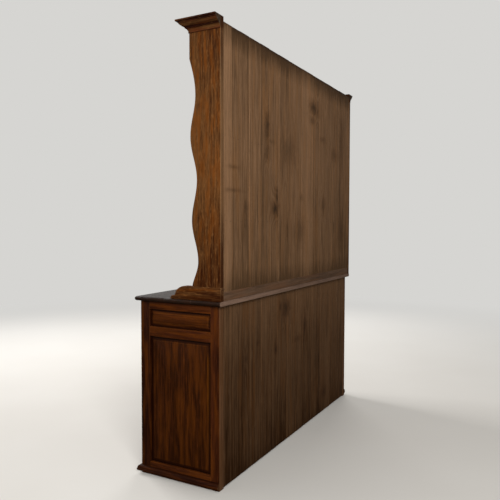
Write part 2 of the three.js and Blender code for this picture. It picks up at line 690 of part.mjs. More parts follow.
function knobBore(x, z) {
  const radius = KNOB_SPIGOT_RADIUS + JOINT_CLEARANCE;
  const depth = KNOB_SPIGOT_LENGTH + JOINT_CLEARANCE;
  const profile = [[0, -depth], [radius, -depth], [radius, CUT_OVERRUN], [0, CUT_OVERRUN]];
  return turned(profile, KNOB_SIDES, TO_THE_FRONT, [x, BODY_FRONT, z]);
}

// Base

function addPosts(group) {
  const frontMortises = Object.keys(frontRails).map((name) => room(frontRailTenonBox(name)));
  for (const [end, side] of ENDS) {
    const grooves = Object.keys(sidePanelLevels).map((level) => sideGroove(side, level));
    const mortises = Object.keys(sideRailLevels).map((level) => room(sideRailTenonBox(side, level)));
    const leafRooms = HINGES.map((hinge) => room(postLeafBox(side, hinge[1])));
    const sideCuts = [...grooves, ...mortises];
    const front = cut(solidBox(frontPostBox(side)), [...sideCuts, ...frontMortises, ...leafRooms]);
    const rear = cut(solidBox(rearPostBox(side)), [...sideCuts, room(baseBackBox)]);
    addPiece(group, `${end}_front_post`, front, OAK_DARK);
    addPiece(group, `${end}_rear_post`, rear, OAK_DARK);
  }
}

function addSideFrames(group) {
  for (const [end, side] of ENDS) {
    const grooves = Object.keys(sidePanelLevels).map((level) => sideGroove(side, level));
    for (const level of Object.keys(sideRailLevels)) {
      const rail = solidBox(sideRailBox(side, level)).add(solidBox(sideRailTenonBox(side, level)));
      const housings = [room(floorBoardBox), room(dustBoardBox)];
      addPiece(group, `${end}_side_${level}_rail`, cut(rail, [...grooves, ...housings]), OAK_DARK);
    }
    for (const level of Object.keys(sidePanelLevels)) {
      addPiece(group, `${end}_side_${level}_panel`, solidBox(sidePanelBox(side, level)), OAK_DARK);
    }
  }
}

function addFrontFrame(group) {
  const groove = fieldedGroove(centrePanelOpening);
  const muntinTenons = ENDS.map((end) => room(muntinTenonBox(end[1])));
  const housings = [room(floorBoardBox), room(dustBoardBox)];
  const crossing = frontRails.drawer.z;
  const laps = ENDS.map((end) => room(box(muntinX(end[1]), [BODY_FRONT, LAP_PLANE], crossing)));
  const names = { top: "front_top_rail", drawer: "drawer_rail", bottom: "front_bottom_rail" };
  for (const name of Object.keys(frontRails)) {
    const rail = solidBox(frontRailBox(name)).add(solidBox(frontRailTenonBox(name)));
    const notches = name === "drawer" ? laps : [];
    addPiece(group, names[name], cut(rail, [groove, ...muntinTenons, ...housings, ...notches]), OAK_DARK);
  }
  for (const [end, side] of ENDS) {
    const muntin = solidBox(muntinBox(side)).add(solidBox(muntinTenonBox(side)));
    const lap = room(box(muntinX(side), [LAP_PLANE, FRONT_RAIL_BACK], crossing));
    addPiece(group, `${end}_muntin`, cut(muntin, [groove, lap]), OAK_DARK);
  }
  addPiece(group, "centre_panel", fieldedPanel(centrePanelOpening), OAK_DARK);
}

function addInnerBoards(group) {
  const postRooms = ENDS.flatMap((end) => [room(frontPostBox(end[1])), room(rearPostBox(end[1]))]);
  const guideZ = [DRAWER_LEVEL, DRAWER_LEVEL + DRAWER_GUIDE_HEIGHT];
  const guides = ENDS.flatMap(([, side]) => {
    const endX = endSpan(side, FRONT_POST_INNER, SIDE_RAIL_INNER);
    return [
      solidBox(box(muntinX(side), [FRONT_RAIL_BACK, BASE_BACK_FRONT], guideZ)),
      solidBox(box(endX, [FRONT_POST_BACK, REAR_POST_FRONT], guideZ)),
    ];
  });
  addPiece(group, "base_floor_board", cut(solidBox(floorBoardBox), postRooms), PINE_INSIDE);
  addPiece(group, "dust_board", cut(joined([solidBox(dustBoardBox), ...guides]), postRooms), PINE_INSIDE);
  addPiece(group, "base_back_boards", boardedBack(baseBackBox, BASE_BOARD_WIDTH_SHARES), PINE_BASE);
}

function addTopAndPlinth(group) {
  const topEdge = topNose();
  const plinthEdge = PLINTH_SHARES.map((share) => [
    share[0] * PLINTH_PROJECTION,
    PLINTH_FLOOR_GAP + share[1] * PLINTH_HEIGHT,
  ]);
  const body = solidBox(box([-BODY_END, BODY_END], [BODY_FRONT, BODY_REAR + CUT_OVERRUN], postSpanZ));
  const plinth = mouldedBlock(plinthEdge, BODY_END, BODY_FRONT, BODY_REAR).subtract(body);
  addPiece(group, "dresser_top", mouldedBlock(topEdge, TOP_END, TOP_FRONT, TOP_REAR), OAK_TOP);
  addPiece(group, "plinth_moulding", plinth, OAK_DARK);
}

// Plate rack

function addRackEnds(group) {
  const rearAndTop = [[RACK_REAR, FOOT_TOP], [RACK_REAR, CORNICE_TOP], [CHEEK_FRONT, CORNICE_TOP]];
  const cheekOutline = rearAndTop.concat(cheekEdge());
  const shelfRooms = SHELVES.map((shelf) => room(shelfBox(shelf[1])));
  for (const [end, side] of ENDS) {
    const x = endSpan(side, RACK_INNER, RACK_END);
    const cheek = prism("x", cheekOutline, x);
    const cheekRooms = [...shelfRooms, room(rackBackBox), room(rackTopBox), room(friezeTenonBox)];
    addPiece(group, `${end}_rack_cheek`, cut(cheek, cheekRooms), OAK_WARM);
    const foot = prism("x", footOutline(), x);
    addPiece(group, `${end}_rack_foot`, foot.subtract(room(rackRearRailTenonBox)), OAK_WARM);
  }
}

function addRackBoards(group) {
  const footRooms = ENDS.map((end) => {
    const x = endSpan(end[1], RACK_INNER, RACK_END);
    return room(box(x, rackBackBox.y, [TOP_LEVEL, FOOT_TOP]));
  });
  const rearRail = solidBox(rackRearRailBox).add(solidBox(rackRearRailTenonBox));
  const back = cut(boardedBack(rackBackBox, RACK_BOARD_WIDTH_SHARES), footRooms);
  addPiece(group, "rack_rear_rail", rearRail, PINE_BASE);
  addPiece(group, "rack_back_boards", back, PINE_RACK);
  for (const [name, turn] of SHELVES) {
    const shelf = shelfBox(turn);
    const grooveRear = RACK_BACK_FRONT - PLATE_GROOVE_INSET;
    const groove = box(
      [-RACK_INNER, RACK_INNER],
      [grooveRear - PLATE_GROOVE_WIDTH, grooveRear],
      [shelf.z[1] - PLATE_GROOVE_DEPTH, shelf.z[1] + CUT_OVERRUN],
    );
    addPiece(group, `${name}_shelf`, solidBox(shelf).subtract(solidBox(groove)), OAK_WARM);
  }
  addPiece(group, "rack_top_board", solidBox(rackTopBox), PINE_INSIDE);
}

function addFriezeAndCornice(group) {
  const frieze = prism("y", friezeOutline(), [CHEEK_FRONT, CHEEK_FRONT + FRIEZE_THICKNESS]);
  const corniceEdge = CORNICE_SHARES.map((share) => [
    share[0] * CORNICE_PROJECTION,
    CORNICE_LEVEL + share[1] * CORNICE_HEIGHT,
  ]);
  const rackBody = box(
    [-RACK_END, RACK_END],
    [CHEEK_FRONT, RACK_REAR + CUT_OVERRUN],
    [CORNICE_LEVEL - CUT_OVERRUN, CORNICE_TOP + CUT_OVERRUN],
  );
  const block = mouldedBlock(corniceEdge, RACK_END, CHEEK_FRONT, RACK_REAR);
  const cornice = block.subtract(solidBox(rackBody));
  addPiece(group, "frieze", frieze.add(solidBox(friezeTenonBox)), OAK_WARM);
  addPiece(group, "cornice", cornice, OAK_WARM);
}

// Drawers, each built about the middle of its bay

function addDrawer(group, name) {
  const half = BAY_WIDTH / 2 - DRAWER_GAP;
  const frontY = [BODY_FRONT, BODY_FRONT + DRAWER_FRONT_THICKNESS];
  const frontZ = [DRAWER_LEVEL + DRAWER_GAP, DRAWER_TOP - DRAWER_GAP];
  const knobLevel = (frontZ[0] + frontZ[1]) / 2;
  const front = solidBox(box([-half, half], frontY, frontZ)).subtract(knobBore(0, knobLevel));
  const outer = box(
    [-half, half],
    [frontY[1], BASE_BACK_FRONT - DRAWER_BACK_ROOM],
    [DRAWER_LEVEL + DRAWER_RUNNING_GAP, DRAWER_TOP - DRAWER_BOX_HEADROOM],
  );
  const innerX = [-half + DRAWER_SIDE_THICKNESS, half - DRAWER_SIDE_THICKNESS];
  const innerY = [frontY[1] - CUT_OVERRUN, outer.y[1] - DRAWER_SIDE_THICKNESS];
  const bottomLow = outer.z[0] + DRAWER_BOTTOM_RISE;
  const above = box(innerX, innerY, [bottomLow + DRAWER_BOTTOM_THICKNESS, outer.z[1] + CUT_OVERRUN]);
  const below = box(innerX, innerY, [outer.z[0] - CUT_OVERRUN, bottomLow]);
  const tray = cut(solidBox(outer), [solidBox(above), solidBox(below)]);
  addPiece(group, `${name}_drawer_front`, front, OAK_DARK);
  addPiece(group, `${name}_drawer_box`, tray, PINE_INSIDE);
  addPiece(group, `${name}_drawer_knob`, knob(0, knobLevel), KNOB_WOOD);
}

// Doors

// The sloping cut round the inside of a door frame's face
function frameBevel(opening) {
  const out = opening.y[0] - DOOR_EDGE_BEVEL;
  const inside = opening.y[0] + DOOR_EDGE_BEVEL;
  const wide = grown(opening, 2 * DOOR_EDGE_BEVEL, 0, 2 * DOOR_EDGE_BEVEL);
  const sloped = (outer, inner) => [
    [outer[0], out], [outer[1], out], [inner[1], inside], [inner[0], inside],
  ];
  const across = prism("z", sloped(wide.x, opening.x), wide.z);
  const upright = prism("x", sloped(wide.z, opening.z).map(swappedPair), wide.x);
  return across.intersect(upright);
}

function addDoor(group, end, side) {
  const edge = BAY_WIDTH / 2 + MUNTIN_WIDTH + DOOR_GAP;
  const x = endSpan(side, edge, FRONT_POST_INNER - DOOR_GAP);
  const y = [BODY_FRONT, BODY_FRONT + DOOR_THICKNESS];
  const z = [BOTTOM_RAIL_HEIGHT + DOOR_GAP, DRAWER_RAIL_LEVEL - DOOR_GAP];
  const opening = box(
    [x[0] + DOOR_STILE_WIDTH, x[1] - DOOR_STILE_WIDTH],
    y,
    [z[0] + DOOR_BOTTOM_RAIL_HEIGHT, z[1] - DOOR_TOP_RAIL_HEIGHT],
  );
  const through = solidBox(grown(opening, 0, CUT_OVERRUN, 0));
  const leafRooms = HINGES.map((hinge) => room(doorLeafBox(side, hinge[1])));
  const knobX = side * (edge + DOOR_STILE_WIDTH / 2);
  const bore = knobBore(knobX, DOOR_KNOB_LEVEL);
  const cuts = [through, fieldedGroove(opening), frameBevel(opening), bore, ...leafRooms];
  addPiece(group, `${end}_door_frame`, cut(solidBox(box(x, y, z)), cuts), OAK_DARK);
  addPiece(group, `${end}_door_panel`, fieldedPanel(opening), OAK_DARK);
  addPiece(group, `${end}_door_knob`, knob(knobX, DOOR_KNOB_LEVEL), KNOB_WOOD);
  for (const [place, level] of HINGES) {
    addPiece(group, `${end}_door_${place}_hinge_post_leaf`, postHinge(side, level), BRASS);
    addPiece(group, `${end}_door_${place}_hinge_door_leaf`, doorHinge(side, level), BRASS);
  }
}

// The whole dresser

function makeDresser() {
  const base = new THREE.Group();
  addPosts(base);
  addSideFrames(base);
  addFrontFrame(base);
  addInnerBoards(base);
  addTopAndPlinth(base);
  const rack = new THREE.Group();
  addRackEnds(rack);
  addRackBoards(rack);
  addFriezeAndCornice(rack);
  const whole = new THREE.Group();
  whole.add(base, rack);
  for (const [name, place] of BAYS) {
    const drawer = new THREE.Group();
    addDrawer(drawer, name);
    drawer.position.x = place * BAY_PITCH;
    whole.add(drawer);
  }
  for (const [end, side] of ENDS) {
    const door = new THREE.Group();
    addDoor(door, end, side);
    whole.add(door);
  }
  whole.position.y = DEPTH_SHIFT;
  return whole;
}

export default makeDresser();
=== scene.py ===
"""Welsh dresser with an open plate rack, seen from behind its right-hand end.

The pieces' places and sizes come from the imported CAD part. Its plain solids are stood for by
separate planks with eased edges, moulded lengths, turned knobs and knuckled hinges, in stained oak
and dull pine.
Metres, +Z up. The front faces -Y, and +X is the right-hand end seen from the front.
"""

import math

import bmesh
import bpy
import numpy as np
from mathutils import Matrix, Vector


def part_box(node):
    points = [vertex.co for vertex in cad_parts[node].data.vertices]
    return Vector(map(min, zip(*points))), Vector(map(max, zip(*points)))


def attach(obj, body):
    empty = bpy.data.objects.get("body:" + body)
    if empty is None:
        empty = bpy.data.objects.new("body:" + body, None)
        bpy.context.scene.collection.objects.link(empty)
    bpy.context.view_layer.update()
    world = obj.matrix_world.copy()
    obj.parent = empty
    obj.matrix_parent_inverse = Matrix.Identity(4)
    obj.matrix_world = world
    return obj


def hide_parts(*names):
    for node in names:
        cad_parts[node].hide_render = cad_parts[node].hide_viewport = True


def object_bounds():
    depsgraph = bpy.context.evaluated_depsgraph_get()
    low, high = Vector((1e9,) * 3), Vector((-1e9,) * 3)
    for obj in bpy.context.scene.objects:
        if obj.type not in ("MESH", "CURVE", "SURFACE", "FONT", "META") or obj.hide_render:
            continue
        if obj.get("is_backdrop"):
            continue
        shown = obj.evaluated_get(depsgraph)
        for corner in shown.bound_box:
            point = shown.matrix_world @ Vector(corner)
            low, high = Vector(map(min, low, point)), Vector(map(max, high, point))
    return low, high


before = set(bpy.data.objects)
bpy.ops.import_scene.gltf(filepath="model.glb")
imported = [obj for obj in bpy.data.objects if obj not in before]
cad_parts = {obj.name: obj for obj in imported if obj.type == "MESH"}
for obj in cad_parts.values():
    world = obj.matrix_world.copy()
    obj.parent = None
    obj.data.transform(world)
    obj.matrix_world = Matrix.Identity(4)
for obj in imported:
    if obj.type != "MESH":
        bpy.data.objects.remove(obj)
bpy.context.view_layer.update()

# The camera of the photograph
CAMERA_AZIMUTH = 118.5446
CAMERA_ELEVATION = 2.5509
CAMERA_ROLL = 0.0881
CAMERA_PLACE = (2.84205, 1.47414, 1.14461)
CAMERA_LENS = 41.115
CAMERA_SENSOR = 36

# The room: its colour, how dim it is as a light, and how far out the floor fades into it
ROOM_CODE = "d6d5d2"
ROOM_LIGHT = 0.42
FLOOR_CODES = ("dedbd6", "e6e4e0")
FLOOR_BOUNCE_CODE = "5d5852"
FLOOR_FADE = (1.0, 6.0)
FLOOR_CLOUD_SIZE = (1.3, 1.3, 1.3)
FLOOR_REACH = 40

# Lamps: place, target, size, watts and colour
LAMPS = {
    "window light": ((4.2, 3.0, 2.7), (0.4, 0.0, 1.1), 2.4, 225, (1.0, 0.985, 0.955)),
    "front light": ((-0.8, -4.6, 3.0), (0.0, 0.0, 1.0), 2.4, 190, (1.0, 0.98, 0.96)),
    "left light": ((-4.3, -1.5, 2.4), (0.0, 0.0, 0.9), 2.4, 80, (1.0, 0.98, 0.96)),
}

# Arrises eased by hands and planes, and how their curves and meshes are made
EASE = 0.0013
BOARD_EASE = 0.0016
FINE_EASE = 0.0006
ROUND_BULGE = 0.83
STEP_COUNT = 4
ARRIS_WEAR = 0.3
SMALLEST_RADIUS = 0.00004
SHARP_ANGLE = math.radians(32)
LEAST_CORNER = 0.3
JOIN_REACH = 0.00001
FLAT_ANGLE = math.radians(1)
BEVEL_ANGLE = math.radians(40)
BEVEL_SEGMENTS = 2

# A face whose normal points back more than this is a rear face
REAR_FACING = 0.8

# Framed ends, doors and drawers. A panel's edge lies lower than its field, and a bevel joins them.
FRAME_EASE = 0.0022
DOOR_MOULDING = 0.006
PANEL_TUCK = 0.002
FIELD_STEP = 0.0012
FIELD_ROUND_SHARE = 0.25
FIELD_SIDE_POINTS = 24
FRONT_BEVEL = 0.034
FRONT_RISE = 0.007
END_BEVEL = 0.019
END_RISE = 0.0045
DOOR_TONGUE = 0.0065
MOULDING_BULGE = 0.7
DRAWER_BEAD = 0.0035
BEAD_BULGE = 0.75

# Wear and tone of a panel's nested rectangles, from its rear face to its field. The tone is painted
# shade on the panel's edge, in the recess along the frame.
PANEL_WEAR_SHARES = [0.0, 0.0, 0.0, 0.2, 0.6, 0.1]
PANEL_EDGE_SHADE_SHARES = [0.0, -2.0, -2.0, 0.0, 0.0, 0.0]

# Wear of the bevel beside the rear post, as pairs of a share of the height and a wear: worn stain
# with a painted highlight, lightest high above the middle
RUBBED_HIGHLIGHT_SHARES = [
    (0.0, 0.1),
    (0.1, 0.4),
    (0.4, 0.45),
    (0.5, 0.9),
    (0.86, 1.0),
    (0.92, 0.2),
    (1.0, 0.1),
]

# Back boards. A joint's gap and chamfers are these lengths times how open it is.
BOARD_GAP = 0.0018
BOARD_CHAMFER = 0.0013
CHAMFER_BULGE = 0.2
# The height of a band along each back's top edge, with points of its own so that the rack's painted
# shadow there stays narrow
TOP_SHADE_BAND = 0.018
BOARD_LAP = 0.007
LAP_SLACK = 0.0005
BOARD_WAVE = 0.0005
BOARD_WAVE_TURNS = 4.0
BOARD_CUP = 0.00015
BOARD_LEVEL_SPREAD = 0.00035
BOARD_STATIONS = 14

# Back boards from the right-hand end: their widths, their tones, and how open the joint beyond is
RACK_BOARD_SHARES = [
    (7.5, 0.8, 0.7),
    (6.5, -0.2, 0.5),
    (8.8, -0.1, 1.7),
    (10.7, 0.0, 0.5),
    (9.2, -0.15, 0.7),
    (10.8, -0.1, 1.5),
    (11.4, -0.05, 0.6),
    (17, 0.2, 0.7),
    (15.4, 0.4, 0.6),
    (10.1, 0.0, 0.5),
    (11.3, 0.0, 0.7),
    (9.9, 0.1, 0.6),
    (11.1, 0.0, 0.8),
    (10, -0.2, 0.7),
    (9.7, 0.0, 0),
]
BASE_BOARD_SHARES = [
    (12.5, -0.1, 0.6),
    (11.8, -0.25, 0.9),
    (11.4, 0.0, 0.9),
    (17.4, 0.1, 1.3),
    (12.1, -0.05, 0.7),
    (12.1, 0.25, 0.9),
    (9.2, 0.0, 0.7),
    (13.4, 0.2, 1.0),
    (12.4, 0.1, 0.9),
    (17, 0.3, 1.1),
    (11.7, 0.3, 0.8),
    (13, 0.4, 0),
]

# Painted light and shade by height, as pairs of a share of the height and a tone
# The rack's back: painted shade at its foot, lighter above, and a painted shadow along its top edge
RACK_SHADE_SHARES = [
    (0.0, -1.3),
    (0.03, -0.6),
    (0.15, -0.4),
    (0.6, 0.05),
    (0.96, -0.1),
    (0.984, -1.6),
    (1.0, -2.3),
]
# The base's back: painted shade at the floor, and painted light towards the top
BASE_SHADE_SHARES = [(0.0, -1.1), (0.1, -0.7), (0.4, -0.35), (0.7, 0.0), (0.9, 0.5), (1.0, 0.7)]
# The cheeks: painted shade above the feet, and a painted shadow under the cornice
CHEEK_SHADE_SHARES = [
    (0.0, -1.1),
    (0.1, -0.8),
    (0.25, -0.4),
    (0.5, 0.25),
    (0.75, 0.1),
    (0.9, -0.35),
    (0.95, -0.45),
    (0.97, -1.5),
    (1.0, -1.9),
]
# The cornice: painted shade in its quirks and hollows, and painted light on its rounds
CORNICE_SHADE_SHARES = [
    (0.0, -1.0),
    (0.07, -0.8),
    (0.085, 0.6),
    (0.1, 0.4),
    (0.16, 0.5),
    (0.33, 0.5),
    (0.375, -1.2),
    (0.45, -1.5),
    (0.47, -0.1),
    (0.6, 0.2),
    (0.75, -0.2),
    (0.8, -0.7),
    (0.86, -1.2),
    (0.9, -1.0),
    (1.0, -0.8),
]
# The plinth: painted shade under its lip and at both edges, darkest in the crease at its top
PLINTH_SHADE_SHARES = [(0.0, -1.0), (0.36, -0.6), (0.5, -0.8), (1.0, -1.2)]
# The feet: painted shade towards the bottom
FOOT_SHADE_SHARES = [(0.0, -1.3), (0.15, -0.9), (0.5, -0.35), (1.0, -0.3)]
FRONT_POST_TONE = -0.75
TOP_RAIL_TONE = 0.15
LOWER_PANEL_TONE = -0.75

# Tones from front to rear, with the rear face last, as pairs like those above: lighter at the
# front, with painted shade along the rear edge beside the back boards
CHEEK_DEPTH_SHARES = [(0.0, 0.15), (0.5, 0.1), (0.985, -0.3), (1.0, -0.15)]
REAR_POST_DEPTH_SHARES = [(0.0, 0.4), (0.94, -1.0), (1.0, -0.1)]

# Planks of the top board, from front to rear, as shares of its depth
TOP_PLANK_SHARES = [0.36, 0.31, 0.33]
TOP_NOSE_DEPTH = 0.009
NOSE_STEPS = 14

# Waved pieces of the rack. A cheek's turns are shares of its height and of its waves' depth.
CHEEK_TURN_SHARES = [
    [0.842, 0.7],
    [0.662, 0.095],
    [0.471, 0.86],
    [0.292, 0.26],
    [0.111, 1],
    [-0.024, 0.21],
]
CHEEK_WAVE_DEPTH = 0.0423
CHEEK_TOE_LAND = 0.008
WAVE_STEPS = 26
STRAIGHT_STEPS = 16
FOOT_TOE_RADIUS = 0.017
FOOT_TOE_STEP = 0.008
FOOT_SHOULDER_LENGTH = 0.058
ARC_STEPS = 14
FRIEZE_WAVE_COUNT = 5
FRIEZE_WAVE_DEPTH = 0.016
PLATE_GROOVE_WIDTH = 0.007
PLATE_GROOVE_DEPTH = 0.003
PLATE_GROOVE_INSET = 0.042
SHELF_NOSE = 0.006

# Mouldings as shares of their projection and their height, along straight fillets and quarter
# curves. A quarter curve ends at its point, and first leaves outwards ("out") or upwards ("up").
CORNICE_STEP_SHARES = [
    ("to", 0.02, 0.0),
    ("out", 0.07, 0.035),
    ("to", 0.07, 0.075),
    ("to", 0.045, 0.09),
    ("to", 0.06, 0.15),
    ("to", 0.1, 0.22),
    ("to", 0.165, 0.3),
    ("to", 0.25, 0.365),
    ("to", 0.31, 0.38),
    ("to", 0.31, 0.45),
    ("to", 0.37, 0.46),
    ("to", 0.5, 0.52),
    ("to", 0.62, 0.59),
    ("to", 0.72, 0.67),
    ("to", 0.79, 0.76),
    ("to", 0.85, 0.78),
    ("to", 0.85, 0.83),
    ("to", 1.0, 0.87),
    ("to", 1.0, 0.99),
    ("to", 0.98, 1.0),
]
PLINTH_STEP_SHARES = [
    ("to", 0.12, 0.0),
    ("to", 0.42, 0.05),
    ("out", 1.0, 0.36),
    ("to", 1.0, 0.44),
    ("to", 0.88, 0.5),
    ("up", 0.3, 0.92),
    ("to", 0.14, 0.93),
    ("to", 0.12, 1.0),
]
CORNICE_PROJECTION = 0.043
PLINTH_PROJECTION = 0.017
QUARTER_STEPS = 7

# Knobs as shares of their radius and their projection, from the front inwards
KNOB_CURVE_SHARES = [
    (0.02, 1.0),
    (0.3, 0.992),
    (0.56, 0.965),
    (0.8, 0.915),
    (0.95, 0.83),
    (1.0, 0.73),
    (0.95, 0.63),
    (0.78, 0.53),
    (0.56, 0.44),
    (0.42, 0.37),
    (0.39, 0.3),
    (0.4, 0.22),
    (0.46, 0.15),
    (0.6, 0.11),
    (0.66, 0.08),
    (0.66, 0.03),
    (0.64, 0.0),
]
KNOB_RADIUS = 0.017
KNOB_SIDES = 48
CURVE_STEPS = 4

# Hinges and nails
BARREL_RADIUS = 0.004
BARREL_SIDES = 28
KNUCKLE_GAP = 0.0003
FINIAL_RADIUS = 0.0036
FINIAL_HEIGHT = 0.0035
FINIAL_STEPS = 5
FINIAL_TURN_SHARE = 0.95
LEAF_THICKNESS = 0.0015
PIN_RADIUS = 0.0015
PIN_SIDES = 14
HINGE_AXIS_PLACE = 0.754
KNUCKLE_COUNT = 3
NAIL_RADIUS = 0.0021
NAIL_STAND = 0.0004
NAIL_SIDES = 10
NAIL_STEPS = 3
NAIL_TURN_SHARE = 0.9
NAIL_SUNK_SHARE = 0.7
NAIL_EDGE_SHARE = 0.2
NAIL_DRIFT_SHARE = 0.05
NAIL_DRIFT = 0.004
NAIL_RAIL_RISE = 0.012
RACK_NAILED_NODES = ("lower_shelf", "upper_shelf", "rack_top_board")
BASE_INNER_NODES = ("base_floor_board", "dust_board")

# How planks are cut from the log
PITH_SPREAD = 0.03
PITH_DEPTHS = (0.03, 0.11)
LOG_LENGTH = 9.0
BOARD_TONE_SPREAD = 0.12

# Tones over which painted shade covers the wood in the pores' colour, and tones over which its glow
# and its wear fade
DEEP_SHADE_TONES = (-2.4, -1.3)
DULL_TONES = (-1.4, -0.2)

# How often the wood's fine marks repeat in a metre: across, through and along the grain
FIBRE_SIZE = (620, 620, 16)
PORE_SIZE = (1300, 1300, 42)
BLOTCH_SIZE = (5, 5, 2.2)
KNOT_EDGE_SIZE = (70, 70, 45)
METAL_CLOUD_SIZE = (320, 320, 320)

# Kinds of noise: their detail and roughness
SMOOTH = (1.0, 0.5)
GENTLE = (1.5, 0.5)
GRAINY = (2.0, 0.6)
PATCHY = (2.0, 0.55)
BROAD = (3.0, 0.55)
CLOUDY = (3.0, 0.6)
SOFT_CLOUDY = (3.0, 0.5)

# Values between which a mark of the wood or the metal comes in
RING_EDGES = (0.42, 0.64)
FLECK_EDGES = (0.55, 0.72)
FLAME_EDGES = (0.42, 0.68)
PORE_EDGES = (0.56, 0.68)
RUB_EDGES = (0.3, 0.6)
ROUGH_EDGES = (0.3, 0.9)
KNOT_EDGES = (-0.3, 1.7)
HALO_EDGES = (0.4, 2.6)
METAL_SHADE_EDGES = (0.35, 0.65)
METAL_ROUGH_EDGES = (0.3, 0.7)

# The middle of a noise, and of the share between the dark and the light shade
MIDDLE = 0.5

# How much the marks do
KNOT_FRAY = 1.6
SWELL_REACH = 4.0
DULL_SHARE = 0.1
LEAST_RUB_SHARE = 0.45
PORE_ROUGH_SHARE = 0.4
FIBRE_RELIEF_SHARE = 0.35
WOOD_BUMP_STRENGTH = 0.5
COAT_ROUGHNESS = 0.2
METAL_BUMP_STRENGTH = 0.3
METAL_BUMP = 0.0002
FLOOR_ROUGHNESS = 0.9
SHADES = ("dark", "light", "glow", "pore", "halo", "knot", "worn")

draws = np.random.default_rng(3733)


def place_of(node):
    """The lowest and highest corner of a CAD node, as arrays."""
    low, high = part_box(node)
    return np.array(low), np.array(high)


def spanning(node, axis, start, end):
    """The corners of a CAD node, but from start to end along one axis."""
    low, high = place_of(node)
    low[axis], high[axis] = start, end
    return low, high


# Shapes: points, four-cornered faces and caps, and each point's wear, place in its plank and tone


def outward(shape):
    """Turns a shape's faces outwards: its volume, summed over fans from the origin, is positive."""
    points = shape["points"]
    quads = shape["quads"]
    a, b, c, d = (points[quads[:, k]] for k in range(4))
    volume = 0.0
    for second, third in ((b, c), (c, d)):
        volume += np.einsum("ij,ij->i", a, np.cross(second, third)).sum()
    for cap in shape["caps"]:
        ring = points[cap]
        volume += np.einsum("j,ij->", ring[0], np.cross(ring[1:-1], ring[2:]))
    if volume < 0:
        shape["quads"] = quads[:, ::-1]
        shape["caps"] = [cap[::-1] for cap in shape["caps"]]
    return shape


def skin(rings, wear):
    """A closed skin over a stack of rings.

    Point j of ring i is joined to point j + 1 of its ring and to point j of ring i + 1, and one
    flat face closes each end of the stack."""
    count, around = rings.shape[:2]
    start = np.arange(count - 1)[:, None] * around
    here = np.arange(around)[None, :]
    there = (here + 1) % around
    corners = [start + here, start + there, start + around + there, start + around + here]
    shape = {
        "points": rings.reshape(-1, 3).astype(float),
        "quads": np.stack(corners, -1).reshape(-1, 4),
        "caps": [np.arange(around)[::-1], np.arange(around) + (count - 1) * around],
        "wear": np.broadcast_to(wear, (count, around)).reshape(-1).astype(float),
    }
    return outward(shape)


def inset_outline(outline, amounts):
    """Outlines shrunk by each amount. A corner moves along the sum of its edges' inward normals,
    divided by one plus their dot product. The outline runs anticlockwise."""
    after = np.roll(outline, -1, axis=-2) - outline
    after = after / np.linalg.norm(after, axis=-1, keepdims=True)
    inward_after = np.stack([-after[..., 1], after[..., 0]], -1)
    inward_before = np.roll(inward_after, 1, axis=-2)
    together = (inward_after * inward_before).sum(-1, keepdims=True)
    move = (inward_after + inward_before) / np.maximum(1 + together, LEAST_CORNER)
    return outline + np.asarray(amounts)[..., None, None] * move


def rounded(corners, radii, bulges):
    """Outlines with each corner rounded, and how worn each point is.

    Between the points one radius before and after a corner runs a parabola. Its middle control
    point lies between the chord's middle, where the bulge is 0, and the corner, where it is 1: 0
    gives a chamfer, 0.83 nearly a quarter circle. Wear follows sin(pi t)."""
    before = np.roll(corners, 1, axis=-2) - corners
    after = np.roll(corners, -1, axis=-2) - corners
    before = before / np.linalg.norm(before, axis=-1, keepdims=True)
    after = after / np.linalg.norm(after, axis=-1, keepdims=True)
    radii = np.broadcast_to(radii, corners.shape[:-1])[..., None]
    start = corners + before * radii
    end = corners + after * radii
    middle = (start + end) / 2
    pull = middle + (corners - middle) * np.asarray(bulges)[..., None]
    t = np.linspace(0, 1, STEP_COUNT + 1)[:, None]
    curve = start[..., None, :] * (1 - t) ** 2 + pull[..., None, :] * 2 * t * (1 - t)
    curve = curve + end[..., None, :] * t**2
    wear = np.broadcast_to(ARRIS_WEAR * np.sin(math.pi * t[:, 0]), curve.shape[:-1])
    flat = corners.shape[:-2] + (-1,)
    return curve.reshape(flat + (2,)), wear.reshape(flat)


def carried(outlines, places, axes):
    """Outlines set one after another: their two numbers and their place go to the axes named."""
    count, around = outlines.shape[:2]
    rings = np.empty((count, around, 3))
    rings[:, :, "xyz".index(axes[0])] = outlines[:, :, 0]
    rings[:, :, "xyz".index(axes[1])] = outlines[:, :, 1]
    rings[:, :, "xyz".index(axes[2])] = np.asarray(places)[:, None]
    return rings


def end_easing(span, ease):
    """Insets, places and wear of the quarter rounds at both ends of a span.

    At the angle a, a round stands in by e(1 - sin a) at the distance e(1 - cos a) from the end."""
    turn = np.linspace(0, math.pi / 2, STEP_COUNT + 1)
    inset = ease * (1 - np.sin(turn))
    reach = ease * (1 - np.cos(turn))
    wear = ARRIS_WEAR * np.sin(2 * turn)
    return inset, span[0] + reach, (span[1] - reach)[::-1], wear


def cut_out(outline, span, axes, ease=EASE):
    """A flat piece sawn to an outline, with both of its faces' arrises eased all round."""
    inset, low, high, wear = end_easing(span, ease)
    insets = np.concatenate([inset, inset[::-1]])
    outlines = inset_outline(np.asarray(outline, float), insets)
    wears = np.concatenate([wear, wear[::-1]])[:, None]
    return skin(carried(outlines, np.concatenate([low, high]), axes), wears)


def moulded_arris(corner, start, end, size, bulge):
    """A cut along one corner of a plank's section, from start to end. It dies out over its own size
    beyond them, so that it mitres with the next piece's."""
    course = [start - size, start, end, end + size]
    return {"corner": corner, "course": course, "size": size, "bulge": bulge}


